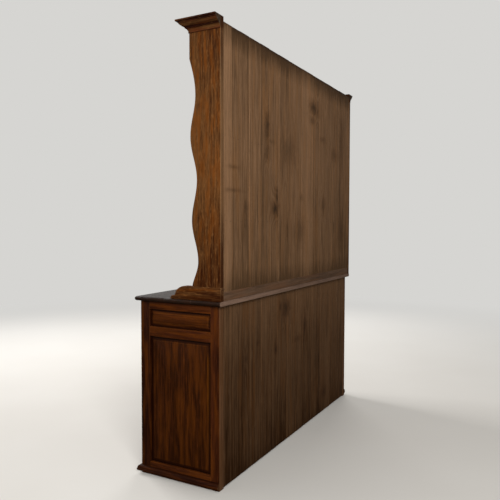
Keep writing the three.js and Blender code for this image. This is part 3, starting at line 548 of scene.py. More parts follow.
def plank(corners, span, axes, ease=EASE, cuts=()):
    """A plank: a section with eased corners carried along the grain, and eased ends."""
    inset, low, high, end_wear = end_easing(span, ease)
    stops = [stop for cut in cuts for stop in cut["course"]]
    stops = np.array(sorted(stop for stop in stops if low[-1] < stop < high[0]))
    places = np.concatenate([low, stops, high])
    insets = np.concatenate([inset, np.zeros(len(stops)), inset[::-1]])
    wears = np.concatenate([end_wear, np.zeros(len(stops)), end_wear[::-1]])
    corners = np.asarray(corners, float)
    radii = np.full((len(places), len(corners)), ease)
    bulges = np.full(len(corners), ROUND_BULGE)
    for cut in cuts:
        sizes = [ease, cut["size"], cut["size"], ease]
        radii[:, cut["corner"]] = np.interp(places, cut["course"], sizes)
        bulges[cut["corner"]] = cut["bulge"]
    outlines = inset_outline(corners, insets)
    radii = np.maximum(radii - insets[:, None], SMALLEST_RADIUS)
    outlines, wear = rounded(outlines, radii, bulges)
    return skin(carried(outlines, places, axes), np.maximum(wear, wears[:, None]))


def rectangle(low, high, axes):
    """A box's section across two of the axes named, anticlockwise, and its span along the third."""
    order = ["xyz".index(axis) for axis in axes]
    a, b, c = (np.array([low[k], high[k]]) for k in order)
    return [[a[0], b[0]], [a[1], b[0]], [a[1], b[1]], [a[0], b[1]]], c


def grained(shape, axes, tone=0.0):
    """Marks each point's place in its own plank: across, through and along the grain.

    Each plank is taken from a random place in the log, beside the pith and along it, and gets a
    random tone and hue of its own."""
    order = ["xyz".index(axis) for axis in axes]
    local = shape["points"][:, order]
    middle = (local.min(0) + local.max(0)) / 2
    place_in_log = [
        draws.uniform(-PITH_SPREAD, PITH_SPREAD) - middle[0],
        draws.uniform(*PITH_DEPTHS) - middle[1],
        draws.uniform(0, LOG_LENGTH),
    ]
    shape["grain"] = local + place_in_log
    shape["tone"] = np.full(len(local), tone + draws.uniform(-BOARD_TONE_SPREAD, BOARD_TONE_SPREAD))
    shape["hue"] = np.full(len(local), draws.uniform(0, 1))
    return shape


def shared_out(shape, low, high, shares, axis=2):
    """A value for each point, by where it lies between two limits, by height unless another axis is
    named: the shares are pairs of such a place and a value."""
    places, values = zip(*shares)
    return np.interp((shape["points"][:, axis] - low) / (high - low), places, values)


def stained(shape, low, high, shares, axis=2):
    """Lightens or darkens a shape by the tones that the shares give its points: painted light and
    shade by place.
    """
    shape["tone"] += shared_out(shape, low, high, shares, axis)
    return shape


def seen_from_above(x0, x1, front, rear, ease):
    """Rectangles seen from above, one for each level, with eased corners, and each point's wear."""
    x0, x1, front, rear = np.broadcast_arrays(x0, x1, front, rear)
    pairs = ((x0, front), (x1, front), (x1, rear), (x0, rear))
    corners = np.stack([np.stack(pair, -1) for pair in pairs], 1)
    return rounded(corners, ease, np.full(len(pairs), ROUND_BULGE))


def board(low, high, axes, ease=EASE, cuts=(), tone=0.0):
    """A plank with a rectangle for a section. The axes run across, through and along its grain."""
    corners, span = rectangle(low, high, axes)
    return grained(plank(corners, span, axes, ease, cuts), axes, tone)


def turned(profile, centre, axis, sides):
    """A turned shape: the profile's (radius, distance) spun round an axis through the centre.

    Point j of ring i lies at distance i along the axis and at radius i (cos a, sin a) across it,
    where a is j of the equal parts of a turn."""
    profile = np.asarray(profile, float)
    angle = np.arange(sides) / sides * 2 * math.pi
    along = "xyz".index(axis)
    across = [k for k in range(3) if k != along]
    rings = np.zeros((len(profile), sides, 3)) + np.asarray(centre, float)
    rings[:, :, across[0]] += profile[:, :1] * np.cos(angle)
    rings[:, :, across[1]] += profile[:, :1] * np.sin(angle)
    rings[:, :, along] += profile[:, 1:]
    return skin(rings, 0.0)


def unmarked(shapes):
    """Shapes of metal, whose grain and tone are never read."""
    for shape in shapes:
        shape["grain"] = shape["points"]
        shape["tone"] = shape["hue"] = np.zeros(len(shape["points"]))
    return shapes


def smooth_curve(points, steps):
    """Points along a Catmull-Rom curve: between p1 and p2 it is the cubic whose ends have the
    slopes (p2 - p0) / 2 and (p3 - p1) / 2."""
    points = np.asarray(points, float)
    padded = np.concatenate([2 * points[:1] - points[1:2], points, 2 * points[-1:] - points[-2:-1]])
    p0, p1, p2, p3 = (padded[k : len(padded) - 3 + k, None, :] for k in range(4))
    t = (np.arange(steps) / steps)[None, :, None]
    bends = 2 * p0 - 5 * p1 + 4 * p2 - p3
    twists = 3 * p1 - p0 - 3 * p2 + p3
    curve = (2 * p1 + (p2 - p0) * t + bends * t**2 + twists * t**3) / 2
    return np.concatenate([curve.reshape(-1, points.shape[1]), points[-1:]])


def moulding_profile(steps, projection, low, height):
    """A moulding's section as (distance out, level), from its bottom to its top.

    "out" is a quarter ellipse that leaves outwards: out by sin a and up by 1 - cos a. "up" swaps
    the two."""
    turn = np.linspace(0, math.pi / 2, QUARTER_STEPS + 1)[1:, None]
    rises = {
        "to": np.array([[1.0, 1.0]]),
        "out": np.concatenate([np.sin(turn), 1 - np.cos(turn)], 1),
        "up": np.concatenate([1 - np.cos(turn), np.sin(turn)], 1),
    }
    path = [np.array([[steps[0][1], steps[0][2]]])]
    for kind, out, up in steps[1:]:
        start = path[-1][-1]
        path.append(start + rises[kind] * (np.array([out, up]) - start))
    return np.concatenate(path) * [projection, height] + [0, low]


def moulded_length(profile, wall, axis, outside, ends, grain):
    """One straight length of moulding on a wall, with its section closed along the wall.

    An end is (place, slope): it is cut at the place plus the slope times the distance out."""
    low, high = profile[0, 1], profile[-1, 1]
    section = np.concatenate([profile, [[0, high], [0, low]]])
    rings = np.empty((2, len(section), 3))
    across = "y" if axis == "x" else "x"
    rings[:, :, "xyz".index(across)] = wall + outside * section[:, 0]
    rings[:, :, 2] = section[:, 1]
    for ring, (place, slope) in zip(rings, ends):
        ring[:, "xyz".index(axis)] = place + slope * section[:, 0]
    return grained(skin(rings, 0.0), grain)


def merged(shapes):
    """Several shapes as one."""
    starts = np.cumsum([0] + [len(shape["points"]) for shape in shapes])
    labels = ("points", "wear", "grain", "tone", "hue")
    whole = {label: np.concatenate([shape[label] for shape in shapes]) for label in labels}
    moved = list(zip(shapes, starts))
    whole["quads"] = np.concatenate([shape["quads"] + start for shape, start in moved])
    whole["caps"] = [cap + start for shape, start in moved for cap in shape["caps"]]
    return whole


def mark(mesh, shape, labels):
    """Writes a shape's marks on its mesh, one attribute for each label."""
    for label in labels:
        kind, field = ("FLOAT_VECTOR", "vector") if label == "grain" else ("FLOAT", "value")
        layer = mesh.attributes.new(label, kind, "POINT")
        layer.data.foreach_set(field, shape[label].astype(np.float32).ravel())


def placed(name, data):
    """A new object in the scene."""
    made = bpy.data.objects.new(name, data)
    bpy.context.scene.collection.objects.link(made)
    return made


def stand_in(name, mesh, body, nodes):
    """An object that rides on a body and stands for its CAD nodes."""
    made = placed(name, mesh)
    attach(made, body)
    if nodes:
        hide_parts(*nodes)
    return made


def piece(name, shapes, body, finish, nodes, rear=None):
    """One stand-in from its shapes.

    A finish is a slot of the record, which is not used, and a material. Faces that look straight
    back take the rear material, where there is one."""
    slot, material = finish
    shape = merged(shapes)
    mesh = bpy.data.meshes.new(name)
    faces = shape["quads"].tolist() + [cap.tolist() for cap in shape["caps"]]
    mesh.from_pydata(shape["points"].tolist(), [], faces)
    mark(mesh, shape, ("grain", "wear", "tone", "hue"))
    mesh.polygons.foreach_set("use_smooth", [True] * len(mesh.polygons))
    mesh.set_sharp_from_angle(angle=SHARP_ANGLE)
    mesh.materials.append(material)
    if rear is not None:
        mesh.materials.append(rear)
        normals = np.empty(len(mesh.polygons) * 3, np.float32)
        mesh.polygons.foreach_get("normal", normals)
        looks_back = normals.reshape(-1, 3)[:, 1] > REAR_FACING
        mesh.polygons.foreach_set("material_index", looks_back.astype(np.int32))
    mesh.update()
    stand_in(name, mesh, body, nodes)


def wooden(node, shapes, finish, body="dresser", rear=None):
    """The wood that stands for one CAD node."""
    piece(f"{node}_wood", shapes, body, finish, [node], rear)


# Materials


def tint(code):
    """A colour written as six hexadecimal figures, as linear light by the sRGB curve."""
    values = [int(code[k : k + 2], 16) / 255 for k in (0, 2, 4)]
    linear = [v / 12.92 if v <= 0.04045 else ((v + 0.055) / 1.055) ** 2.4 for v in values]
    return (*linear, 1.0)


class Recipe:
    """A material's node tree, built one node at a time."""

    def __init__(self, owner):
        self.owner = owner
        owner.use_nodes = True
        self.tree = owner.node_tree
        self.tree.nodes.clear()

    def add(self, kind, inputs, output=0, **settings):
        """Adds a node, sets it, and links or writes its inputs; returns one of its outputs."""
        node = self.tree.nodes.new(kind)
        for name, value in settings.items():
            setattr(node, name, value)
        for name, value in inputs.items():
            if isinstance(value, bpy.types.NodeSocket):
                self.tree.links.new(value, node.inputs[name])
            else:
                node.inputs[name].default_value = value
        return node.outputs[output]

    def math(self, operation, first, second=0.0, third=0.0):
        """One sum on numbers."""
        return self.add("ShaderNodeMath", {0: first, 1: second, 2: third}, operation=operation)

    def vector(self, operation, first, second=(0, 0, 0)):
        """One sum on vectors; a length comes from the second output."""
        output = 1 if operation == "LENGTH" else 0
        return self.add("ShaderNodeVectorMath", {0: first, 1: second}, output, operation=operation)

    def noise(self, place, size, kind, output=0):
        """Cloud noise on places scaled to its size; a kind is its detail and its roughness."""
        vector = self.vector("MULTIPLY", place, size)
        inputs = {"Vector": vector, "Scale": 1.0, "Detail": kind[0], "Roughness": kind[1]}
        return self.add("ShaderNodeTexNoise", inputs, output)

    def noise_line(self, value, kind):
        """Noise along one number."""
        inputs = {"W": value, "Scale": 1.0, "Detail": kind[0], "Roughness": kind[1]}
        return self.add("ShaderNodeTexNoise", inputs, noise_dimensions="1D")

    def sway(self, cloud, strength, share):
        """A share raised or lowered by how far a cloud is from its middle."""
        return self.math("MULTIPLY_ADD", self.math("SUBTRACT", cloud, MIDDLE), strength, share)

    def step(self, value, low, high, start=0.0, end=1.0):
        """A smooth step from start to end as the value goes from low to high."""
        inputs = {"Value": value, "From Min": low, "From Max": high, "To Min": start, "To Max": end}
        return self.add("ShaderNodeMapRange", inputs, interpolation_type="SMOOTHSTEP")

    def mix(self, share, first, second):
        """Two colours mixed."""
        return self.add("ShaderNodeMix", {0: share, 6: first, 7: second}, 2, data_type="RGBA")

    def attribute(self, name, output):
        """One of the piece's own marks."""
        return self.add("ShaderNodeAttribute", {}, output, attribute_name=name)

    def bump(self, height, strength, distance):
        """A bumped normal from a height."""
        inputs = {"Strength": strength, "Distance": distance, "Height": height}
        return self.add("ShaderNodeBump", inputs)

    def surface(self, colour, roughness, bump=None, **sockets):
        """A principled surface, with its constants written on the shader's own sockets."""
        inputs = {"Base Color": colour, "Roughness": roughness}
        inputs.update({name.replace("_", " "): value for name, value in sockets.items()})
        if bump is not None:
            inputs["Normal"] = bump
        return self.add("ShaderNodeBsdfPrincipled", inputs)

    def done(self, shader, end="ShaderNodeOutputMaterial"):
        """Ends the tree in a shader, and returns its owner."""
        output = self.tree.nodes.new(end)
        self.tree.links.new(shader, output.inputs["Surface"])
        return self.owner


def knot_marks(r, knots):
    """How deep a point lies in a knot and in its redder halo, and how far the rings swell round it.

    A knot is (x, z, width, height, strength) on the dresser's back, in metres. Its depth falls off
    smoothly with the distance over its own size. The rings swell by its smaller size times its
    strength squared."""
    place = r.add("ShaderNodeTexCoord", {}, "Object")
    ragged = r.noise(place, KNOT_EDGE_SIZE, GRAINY)
    ragged = r.math("MULTIPLY", r.math("SUBTRACT", ragged, MIDDLE), KNOT_FRAY)
    depth = 0.0
    halo = 0.0
    swell = 0.0
    for x, z, width, height, strength in knots:
        offset = r.vector("SUBTRACT", place, (x, 0, z))
        scaled = r.vector("MULTIPLY", offset, (1 / width, 0, 1 / height))
        distance = r.vector("LENGTH", scaled)
        frayed = r.math("ADD", distance, ragged)
        depth = r.math("MAXIMUM", r.step(frayed, *KNOT_EDGES, strength, 0.0), depth)
        halo = r.math("MAXIMUM", r.step(frayed, *HALO_EDGES, strength, 0.0), halo)
        bulge = min(width, height) * strength**2
        swell = r.math("ADD", r.step(distance, 0.0, SWELL_REACH, bulge, 0.0), swell)
    return depth, halo, swell


def ring_marks(r, look, grain, swell):
    """The rings, and coordinates that bend slowly along the plank.

    Rings are noise along the distance from the pith in those coordinates."""
    bend = r.noise(grain, look["bend_size"], GENTLE, 1)
    bend = r.vector("SUBTRACT", bend, (MIDDLE, MIDDLE, MIDDLE))
    bent = r.vector("ADD", grain, r.vector("MULTIPLY", bend, (look["wander"], look["wander"], 0)))
    from_pith = r.vector("LENGTH", r.vector("MULTIPLY", bent, (1, 1, 0)))
    ring_place = r.math("MULTIPLY", r.math("ADD", from_pith, swell), look["rings"])
    return r.step(r.noise_line(ring_place, CLOUDY), *RING_EDGES), bent


def wood_marks(r, look, knots):
    """The wood's marks: rings, streaks, flecks, fibres, flames, blotches, pores and knots."""
    grain = r.attribute("grain", "Vector")
    depth, halo, swell = knot_marks(r, knots)
    ring, bent = ring_marks(r, look, grain, swell)
    return {
        "ring": ring,
        "streak": r.noise(bent, look["streak_size"], GRAINY),
        "fleck": r.step(r.noise(bent, look["fleck_size"], SMOOTH), *FLECK_EDGES),
        "fibre": r.noise(grain, FIBRE_SIZE, GRAINY),
        "flame": r.step(r.noise(bent, look["flame_size"], PATCHY), *FLAME_EDGES),
        "blotch": r.noise(grain, BLOTCH_SIZE, BROAD),
        "pore": r.step(r.noise(grain, PORE_SIZE, SMOOTH), *PORE_EDGES),
        "knot": depth,
        "halo": halo,
    }


def stain_and_shade_share(r, look, marks, tone):
    """Where a point's stain lies between the dark and the light shade, from 0 to 1; its tone, which
    carries painted shade and light, moves it too.
    """
    share = r.math("SUBTRACT", MIDDLE, marks["ring"])
    share = r.math("MULTIPLY_ADD", share, look["ring_strength"], MIDDLE)
    share = r.sway(marks["streak"], look["streak_strength"], share)
    share = r.sway(marks["fibre"], look["fibre_strength"], share)
    share = r.math("MULTIPLY_ADD", marks["fleck"], look["fleck_strength"], share)
    share = r.sway(marks["blotch"], look["blotch_strength"], share)
    share = r.math("MULTIPLY_ADD", tone, look["tone_strength"], share)
    return r.add("ShaderNodeClamp", {"Value": share, "Min": 0.0, "Max": 1.0})


def wood_colour(r, look, marks):
    """The stained wood's colour.

    Where the tone is darkest, painted shade covers the marks in the pores' colour, and the wood
    glows less and is less worn on its arrises."""
    shade = {part: tint(look[part]) for part in SHADES}
    tone, wear, hue = (r.attribute(label, "Fac") for label in ("tone", "wear", "hue"))
    colour = r.mix(stain_and_shade_share(r, look, marks, tone), shade["dark"], shade["light"])
    # Glow and wear fade where the tone is dark, most of all under painted shade
    unshaded = r.step(tone, *DULL_TONES, DULL_SHARE, 1.0)
    glow = r.math("MULTIPLY_ADD", hue, look["hue_strength"], look["glow_strength"])
    glow = r.math("MULTIPLY", marks["flame"], r.math("MULTIPLY", glow, unshaded))
    colour = r.mix(glow, colour, shade["glow"])
    rubbed = r.step(marks["streak"], *RUB_EDGES, LEAST_RUB_SHARE, 1.0)
    rubbed = r.math("MULTIPLY", r.math("MULTIPLY", wear, unshaded), rubbed)
    # Painted shade: the darkest tones take the pores' colour
    deep_shade = r.step(tone, *DEEP_SHADE_TONES, 1.0, 0.0)
    for cover, strength, part in (
        (marks["pore"], "pore_strength", "pore"),
        (marks["halo"], "halo_strength", "halo"),
        (marks["knot"], "knot_strength", "knot"),
        (deep_shade, "deep_shade_strength", "pore"),
        (rubbed, "wear_strength", "worn"),
    ):
        colour = r.mix(r.math("MULTIPLY", cover, look[strength]), colour, shade[part])
    return colour


def wood(name, look, knots=()):
    """Planks cut from a log and stained; knots are places on the dresser's back."""
    r = Recipe(bpy.data.materials.new(name))
    marks = wood_marks(r, look, knots)
    rough = r.math("MULTIPLY_ADD", marks["pore"], PORE_ROUGH_SHARE, marks["streak"])
    rough = r.step(rough, *ROUGH_EDGES, *look["roughness"])
    height = r.math("MULTIPLY", marks["fibre"], FIBRE_RELIEF_SHARE)
    height = r.math("SUBTRACT", height, marks["pore"])
    height = r.math("MULTIPLY_ADD", marks["ring"], -look["relief"], height)
    bump = r.bump(height, WOOD_BUMP_STRENGTH, look["bump"])
    coat = {"Coat_Weight": look["coat"], "Coat_Roughness": COAT_ROUGHNESS}
    colour = wood_colour(r, look, marks)
    return r.done(r.surface(colour, rough, bump, Specular_IOR_Level=look["specular"], **coat))


DARK_OAK = {
    "dark": "220b03",
    "light": "4f2610",
    "glow": "6a360a",
    "pore": "150602",
    "knot": "140602",
    "halo": "200c04",
    "worn": "7c4609",
    "wander": 0.016,
    "bend_size": (6, 6, 3.0),
    "rings": 105.0,
    "streak_size": (215, 215, 8),
    "flame_size": (46, 46, 5),
    "fleck_size": (190, 190, 24),
    "ring_strength": 0.3,
    "streak_strength": 1.5,
    "fibre_strength": 0.6,
    "fleck_strength": 0.35,
    "blotch_strength": 0.95,
    "tone_strength": 0.6,
    "glow_strength": 0.35,
    "hue_strength": 0.25,
    "pore_strength": 0.4,
    # How strongly painted shade covers the darkest tones
    "deep_shade_strength": 0.8,
    "halo_strength": 0.0,
    "knot_strength": 0.0,
    "wear_strength": 0.9,
    "roughness": (0.36, 0.54),
    "relief": 0.3,
    "bump": 0.0005,
    "coat": 0.0,
    "specular": 0.07,
}
WARM_OAK = {
    **DARK_OAK,
    "dark": "331605",
    "light": "784f2a",
    "glow": "7f430e",
    "pore": "2a1203",
    "worn": "9c7046",
    "bend_size": (7, 7, 4.5),
    "rings": 95.0,
    "streak_size": (165, 165, 13),
    "flame_size": (62, 62, 8),
    "fleck_size": (175, 175, 38),
    "ring_strength": 0.2,
    "fleck_strength": 0.4,
    "blotch_strength": 0.8,
    "tone_strength": 0.45,
    "glow_strength": 0.5,
    "hue_strength": 0.0,
    "wear_strength": 0.8,
    "roughness": (0.45, 0.62),
    "specular": 0.05,
}
CORNICE_OAK = {
    **WARM_OAK,
    "dark": "2b120a",
    "light": "6c4827",
    "glow": "662d16",
    "pore": "1a0903",
    "worn": "7a5233",
    "streak_size": (120, 120, 6),
}
TOP_OAK = {
    **DARK_OAK,
    "dark": "120804",
    "light": "2b1b11",
    "glow": "321b0f",
    "worn": "22150d",
    "roughness": (0.36, 0.5),
    "specular": 0.14,
}
RACK_PINE = {
    **DARK_OAK,
    "dark": "513b27",
    "light": "937052",
    "glow": "8f633c",
    "pore": "35261a",
    "knot": "2e241a",
    "halo": "58391f",
    "worn": "a08363",
    "wander": 0.02,
    "bend_size": (5, 5, 2.2),
    "rings": 85.0,
    "streak_size": (115, 115, 3.2),
    "flame_size": (42, 42, 3.0),
    "fleck_size": (120, 120, 14),
    "ring_strength": 0.22,
    "streak_strength": 1.1,
    "fibre_strength": 0.5,
    "fleck_strength": 0.15,
    "blotch_strength": 0.6,
    "tone_strength": 0.42,
    "glow_strength": 0.1,
    "hue_strength": 0.4,
    "pore_strength": 0.25,
    "halo_strength": 0.55,
    "knot_strength": 0.85,
    "wear_strength": 0.25,
    "roughness": (0.66, 0.85),
    "relief": 0.6,
    "specular": 0.04,
}
BASE_PINE = {
    **RACK_PINE,
    "dark": "2a1707",
    "light": "6c5038",
    "glow": "603a18",
    "pore": "20140b",
    "knot": "1f1710",
    "halo": "3f2412",
    "worn": "6f553b",
    "streak_strength": 0.9,
    "hue_strength": 0.35,
}
INSIDE_PINE = {
    **RACK_PINE,
    "dark": "6e4f31",
    "light": "a98459",
    "glow": "9f7440",
    "worn": "b39268",
}
REAR_OAK = {
    **RACK_PINE,
    "dark": "3a1e0a",
    "light": "8c6a4a",
    "pore": "2a1f18",
    "worn": "b09068",
    "ring_strength": 0.15,
    "tone_strength": 0.6,
    # Strong wear lightens the rear arrises to a thin light line: wear with a painted highlight
    "wear_strength": 1.6,
}
BASE_REAR_OAK = {
    **RACK_PINE,
    "dark": "3f2716",
    "light": "725138",
    "glow": "624021",
    "worn": "86664a",
    "ring_strength": 0.15,
}
RAIL_PINE = {
    **RACK_PINE,
    "dark": "38271b",
    "light": "6e5644",
    "glow": "6f4b33",
}
TOP_REAR_OAK = {
    **RACK_PINE,
    "dark": "544036",
    "light": "8e7463",
    "glow": "7a5c4a",
    "worn": "a8927f",
}
SAWN_END = {
    **RACK_PINE,
    "dark": "2e241b",
    "light": "5c4c3c",
    "glow": "4f3a29",
    "worn": "5c4c3c",
}
KNOB_OAK = {**DARK_OAK, "rings": 330.0, "roughness": (0.22, 0.35), "coat": 0.2, "specular": 0.3}

RACK_KNOTS = [
    (0.392, 1.608, 0.020, 0.048, 0.9),
    (0.388, 1.500, 0.020, 0.036, 0.6),
    (0.355, 1.545, 0.040, 0.010, 0.3),
    (-0.190, 1.800, 0.044, 0.028, 0.9),
    (-0.170, 1.728, 0.030, 0.020, 0.5),
    (0.284, 1.274, 0.016, 0.036, 0.7),
    (0.300, 1.222, 0.030, 0.030, 1.0),
    (0.290, 1.310, 0.022, 0.020, 0.4),
    (0.601, 1.219, 0.018, 0.028, 0.6),
    (0.155, 1.525, 0.070, 0.060, 0.4),
    (-0.011, 1.115, 0.045, 0.055, 0.4),
    (0.160, 1.125, 0.008, 0.035, 0.6),
    (-0.020, 1.290, 0.020, 0.016, 0.35),
    (-0.351, 1.255, 0.026, 0.036, 0.55),
    (-0.527, 1.570, 0.050, 0.032, 0.45),
    (-0.330, 1.640, 0.040, 0.016, 0.35),
    (-0.640, 1.640, 0.030, 0.120, 0.5),
    (-0.660, 1.100, 0.055, 0.080, 0.45),
    (0.708, 1.391, 0.040, 0.008, 0.4),
    (0.713, 1.292, 0.060, 0.007, 0.4),
]
BASE_KNOTS = [
    (0.133, 0.707, 0.044, 0.038, 0.7),
    (0.251, 0.513, 0.014, 0.022, 0.8),
    (0.198, 0.725, 0.014, 0.020, 0.6),
    (0.566, 0.532, 0.016, 0.020, 0.5),
    (0.640, 0.480, 0.045, 0.040, 0.25),
    (-0.123, 0.578, 0.024, 0.044, 0.5),
    (-0.012, 0.520, 0.034, 0.012, 0.4),
    (0.448, 0.580, 0.012, 0.012, 0.4),
    (-0.740, 0.060, 0.030, 0.036, 0.7),
    (-0.420, 0.120, 0.040, 0.030, 0.5),
]


# Metals: two shades, least and most roughness, and how metallic they are
BRASS = (("5c4522", "a3834a"), (0.35, 0.6), 1.0)
NAIL_IRON = (("1c1714", "3b302a"), (0.5, 0.8), 0.7)


def metal(name, shades, roughness, metallic):
    """Old metal: two shades mottled by noise, with a little unevenness."""
    r = Recipe(bpy.data.materials.new(name))
    place = r.add("ShaderNodeTexCoord", {}, "Object")
    cloud = r.noise(place, METAL_CLOUD_SIZE, CLOUDY)
    colour = r.mix(r.step(cloud, *METAL_SHADE_EDGES), *(tint(code) for code in shades))
    rough = r.step(cloud, *METAL_ROUGH_EDGES, *roughness)
    bump = r.bump(cloud, METAL_BUMP_STRENGTH, METAL_BUMP)
    return r.done(r.surface(colour, rough, bump, Metallic=metallic))


oak_dark = ("oak_dark", wood("dark stained oak", DARK_OAK))
oak_warm = ("oak_warm", wood("warm brown oak", WARM_OAK))
oak_cornice = ("oak_warm", wood("cornice oak", CORNICE_OAK))
oak_top = ("oak_top", wood("waxed top oak", TOP_OAK))
rack_rear_oak = wood("dull rack oak", REAR_OAK)
base_rear_oak = wood("dull base oak", BASE_REAR_OAK)
pine_rail = ("pine_base", wood("grey rail pine", RAIL_PINE))
top_rear_oak = wood("dull top oak", TOP_REAR_OAK)
sawn_end = wood("sawn cornice end", SAWN_END)
pine_rack = ("pine_rack", wood("rack back pine", RACK_PINE, RACK_KNOTS))
pine_base = ("pine_base", wood("base back pine", BASE_PINE, BASE_KNOTS))
pine_inside = ("pine_inside", wood("bare inside pine", INSIDE_PINE))
knob_oak = ("knob_wood", wood("turned knob oak", KNOB_OAK))
old_brass = ("brass", metal("old brass", *BRASS))
nail_iron = ("brass", metal("nail iron", *NAIL_IRON))

# The base's frame
ENDS = {"left": -1, "right": 1}
front_post_low, front_post_high = place_of("right_front_post")
rear_post_low, rear_post_high = place_of("right_rear_post")
panel_levels = {}
for level, above, below in (("upper", "top", "middle"), ("lower", "middle", "bottom")):
    top = place_of(f"right_side_{above}_rail")[0][2]
    panel_levels[level] = (place_of(f"right_side_{below}_rail")[1][2], top)


def fielded_panel(opening, rear, edge, field, axes, grain, bevel, tone=0.0):
    """A panel with a raised field, from nested rectangles.

    They go from the rear face round the tongue to the edge's face, up the bevel, and over a small
    step to the field. Opening is the sight size (a0, a1, b0, b1), and rear, edge and field are
    places along the third axis."""
    step = math.copysign(FIELD_STEP, edge - field)
    rings_at = [
        (-PANEL_TUCK, rear),
        (-PANEL_TUCK, edge),
        (0.0, edge),
        (bevel, field + step),
        (bevel + FIELD_STEP * FIELD_ROUND_SHARE, field + step * FIELD_ROUND_SHARE),
        (bevel + FIELD_STEP, field),
    ]
    insets, places = np.array(rings_at).T
    a0, a1, b0, b1 = opening
    corners = inset_outline(np.array([[a0, b0], [a1, b0], [a1, b1], [a0, b1]]), insets)
    t = np.linspace(0, 1, FIELD_SIDE_POINTS, endpoint=False)[:, None]
    sides = corners[:, :, None, :] * (1 - t) + np.roll(corners, -1, axis=1)[:, :, None, :] * t
    outlines = sides.reshape(len(corners), -1, 2)
    wear = np.array(PANEL_WEAR_SHARES)[:, None]
    panel = grained(skin(carried(outlines, places, axes), wear), grain, tone)
    # Painted shade on the panel's edge, in the recess along the frame
    panel["tone"] += np.repeat(PANEL_EDGE_SHADE_SHARES, outlines.shape[1])
    return panel


def rub_and_highlight_rear_bevel(shape, rear, bottom, top):
    """Marks the bevel beside the rear post as rubbed, most of all high above its middle: worn stain
    with a painted highlight.
    """
    on_bevel = shape["points"][:, 1] > rear - END_BEVEL - FIELD_STEP / 2
    rubbed = shared_out(shape, bottom, top, RUBBED_HIGHLIGHT_SHARES)
    shape["wear"] = np.where(on_bevel, rubbed, shape["wear"])


for end, side in ENDS.items():
    for place in ("front", "rear"):
        node = f"{end}_{place}_post"
        low, high = place_of(node)
        shape = board(low, high, "yxz", FRAME_EASE)
        if place == "front":
            shape["tone"] += FRONT_POST_TONE
        else:
            stained(shape, low[1], high[1], REAR_POST_DEPTH_SHARES, 1)
        wooden(node, [shape], oak_dark, rear=base_rear_oak if place == "rear" else None)
    for level in ("top", "middle", "bottom"):
        node = f"{end}_side_{level}_rail"
        low, high = spanning(node, 1, front_post_high[1], rear_post_low[1])
        tone = TOP_RAIL_TONE if level == "top" else 0
        wooden(node, [board(low, high, "zxy", FRAME_EASE, tone=tone)], oak_dark)
    for level, grain in (("upper", "zxy"), ("lower", "yxz")):
        node = f"{end}_side_{level}_panel"
        low, high = place_of(node)
        bottom, top = panel_levels[level]
        opening = (front_post_high[1], rear_post_low[1], bottom, top)
        rear, field = (low[0], high[0]) if side > 0 else (high[0], low[0])
        edge = field - side * END_RISE
        tone = LOWER_PANEL_TONE if level == "lower" else 0
        panel = fielded_panel(opening, rear, edge, field, "yzx", grain, END_BEVEL, tone)
        if level == "lower":
            rub_and_highlight_rear_bevel(panel, rear_post_low[1], bottom, top)
        wooden(node, [panel], oak_dark)

# The front frame

post_inner = front_post_low[0]
bottom_rail_top = place_of("front_bottom_rail")[1][2]
top_rail_bottom = place_of("front_top_rail")[0][2]
muntin_low, muntin_high = place_of("right_muntin")
for node in ("front_top_rail", "front_bottom_rail"):
    low, high = spanning(node, 0, -post_inner, post_inner)
    wooden(node, [board(low, high, "zyx")], oak_dark)
for end in ENDS:
    low, high = spanning(f"{end}_muntin", 2, bottom_rail_top, top_rail_bottom)
    wooden(f"{end}_muntin", [board(low, high, "xyz")], oak_dark)
rail_parts = []
for start, stop in (
    (-post_inner, -muntin_high[0]),
    (-muntin_low[0], muntin_low[0]),
    (muntin_high[0], post_inner),
):
    low, high = spanning("drawer_rail", 0, start, stop)
    rail_parts.append(board(low, high, "zyx"))
for start, stop in ((-muntin_high[0], -muntin_low[0]), (muntin_low[0], muntin_high[0])):
    low, high = spanning("drawer_rail", 0, start, stop)
    low[1] = muntin_high[1]
    rail_parts.append(board(low, high, "zyx", FINE_EASE))
wooden("drawer_rail", rail_parts, oak_dark)


def front_panel(node, opening):
    """A fielded panel that faces the front."""
    low, high = place_of(node)
    edge = low[1] + FRONT_RISE
    return fielded_panel(opening, high[1], edge, low[1], "xzy", "xyz", FRONT_BEVEL)


centre_top = place_of("drawer_rail")[0][2]
centre = front_panel("centre_panel", (-muntin_low[0], muntin_low[0], bottom_rail_top, centre_top))
wooden("centre_panel", [centre], oak_dark)

# The plinth moulding, the top and the cornice


def moulded_frame(node, step_shares, projection, walls, shade_shares):
    """The three mitred lengths of a moulding, with painted shade and light in bands by height.

    Walls are the places of the end, the front and the rear of what it runs round."""
    low, high = place_of(node)
    profile = moulding_profile(step_shares, projection, low[2], high[2] - low[2])
    end_wall, front_wall, rear = walls
    front_ends = ((-end_wall, -1), (end_wall, 1))
    parts = [moulded_length(profile, front_wall, "x", -1, front_ends, "zyx")]
    for side in (-1, 1):
        ends = ((front_wall, -1), (rear, 0))
        parts.append(moulded_length(profile, side * end_wall, "y", side, ends, "zxy"))
    return [stained(part, low[2], high[2], shade_shares) for part in parts]


body_front = front_post_low[1]
base_walls = (front_post_high[0], body_front, rear_post_high[1])
plinth = moulded_frame(
    "plinth_moulding", PLINTH_STEP_SHARES, PLINTH_PROJECTION, base_walls, PLINTH_SHADE_SHARES
)
wooden("plinth_moulding", plinth, oak_dark, rear=base_rear_oak)
cheek_low, cheek_high = place_of("right_rack_cheek")
rack_walls = (cheek_high[0], place_of("frieze")[0][1], cheek_high[1])
cornice = moulded_frame(
    "cornice", CORNICE_STEP_SHARES, CORNICE_PROJECTION, rack_walls, CORNICE_SHADE_SHARES
)
wooden("cornice", cornice, oak_cornice, rear=sawn_end)


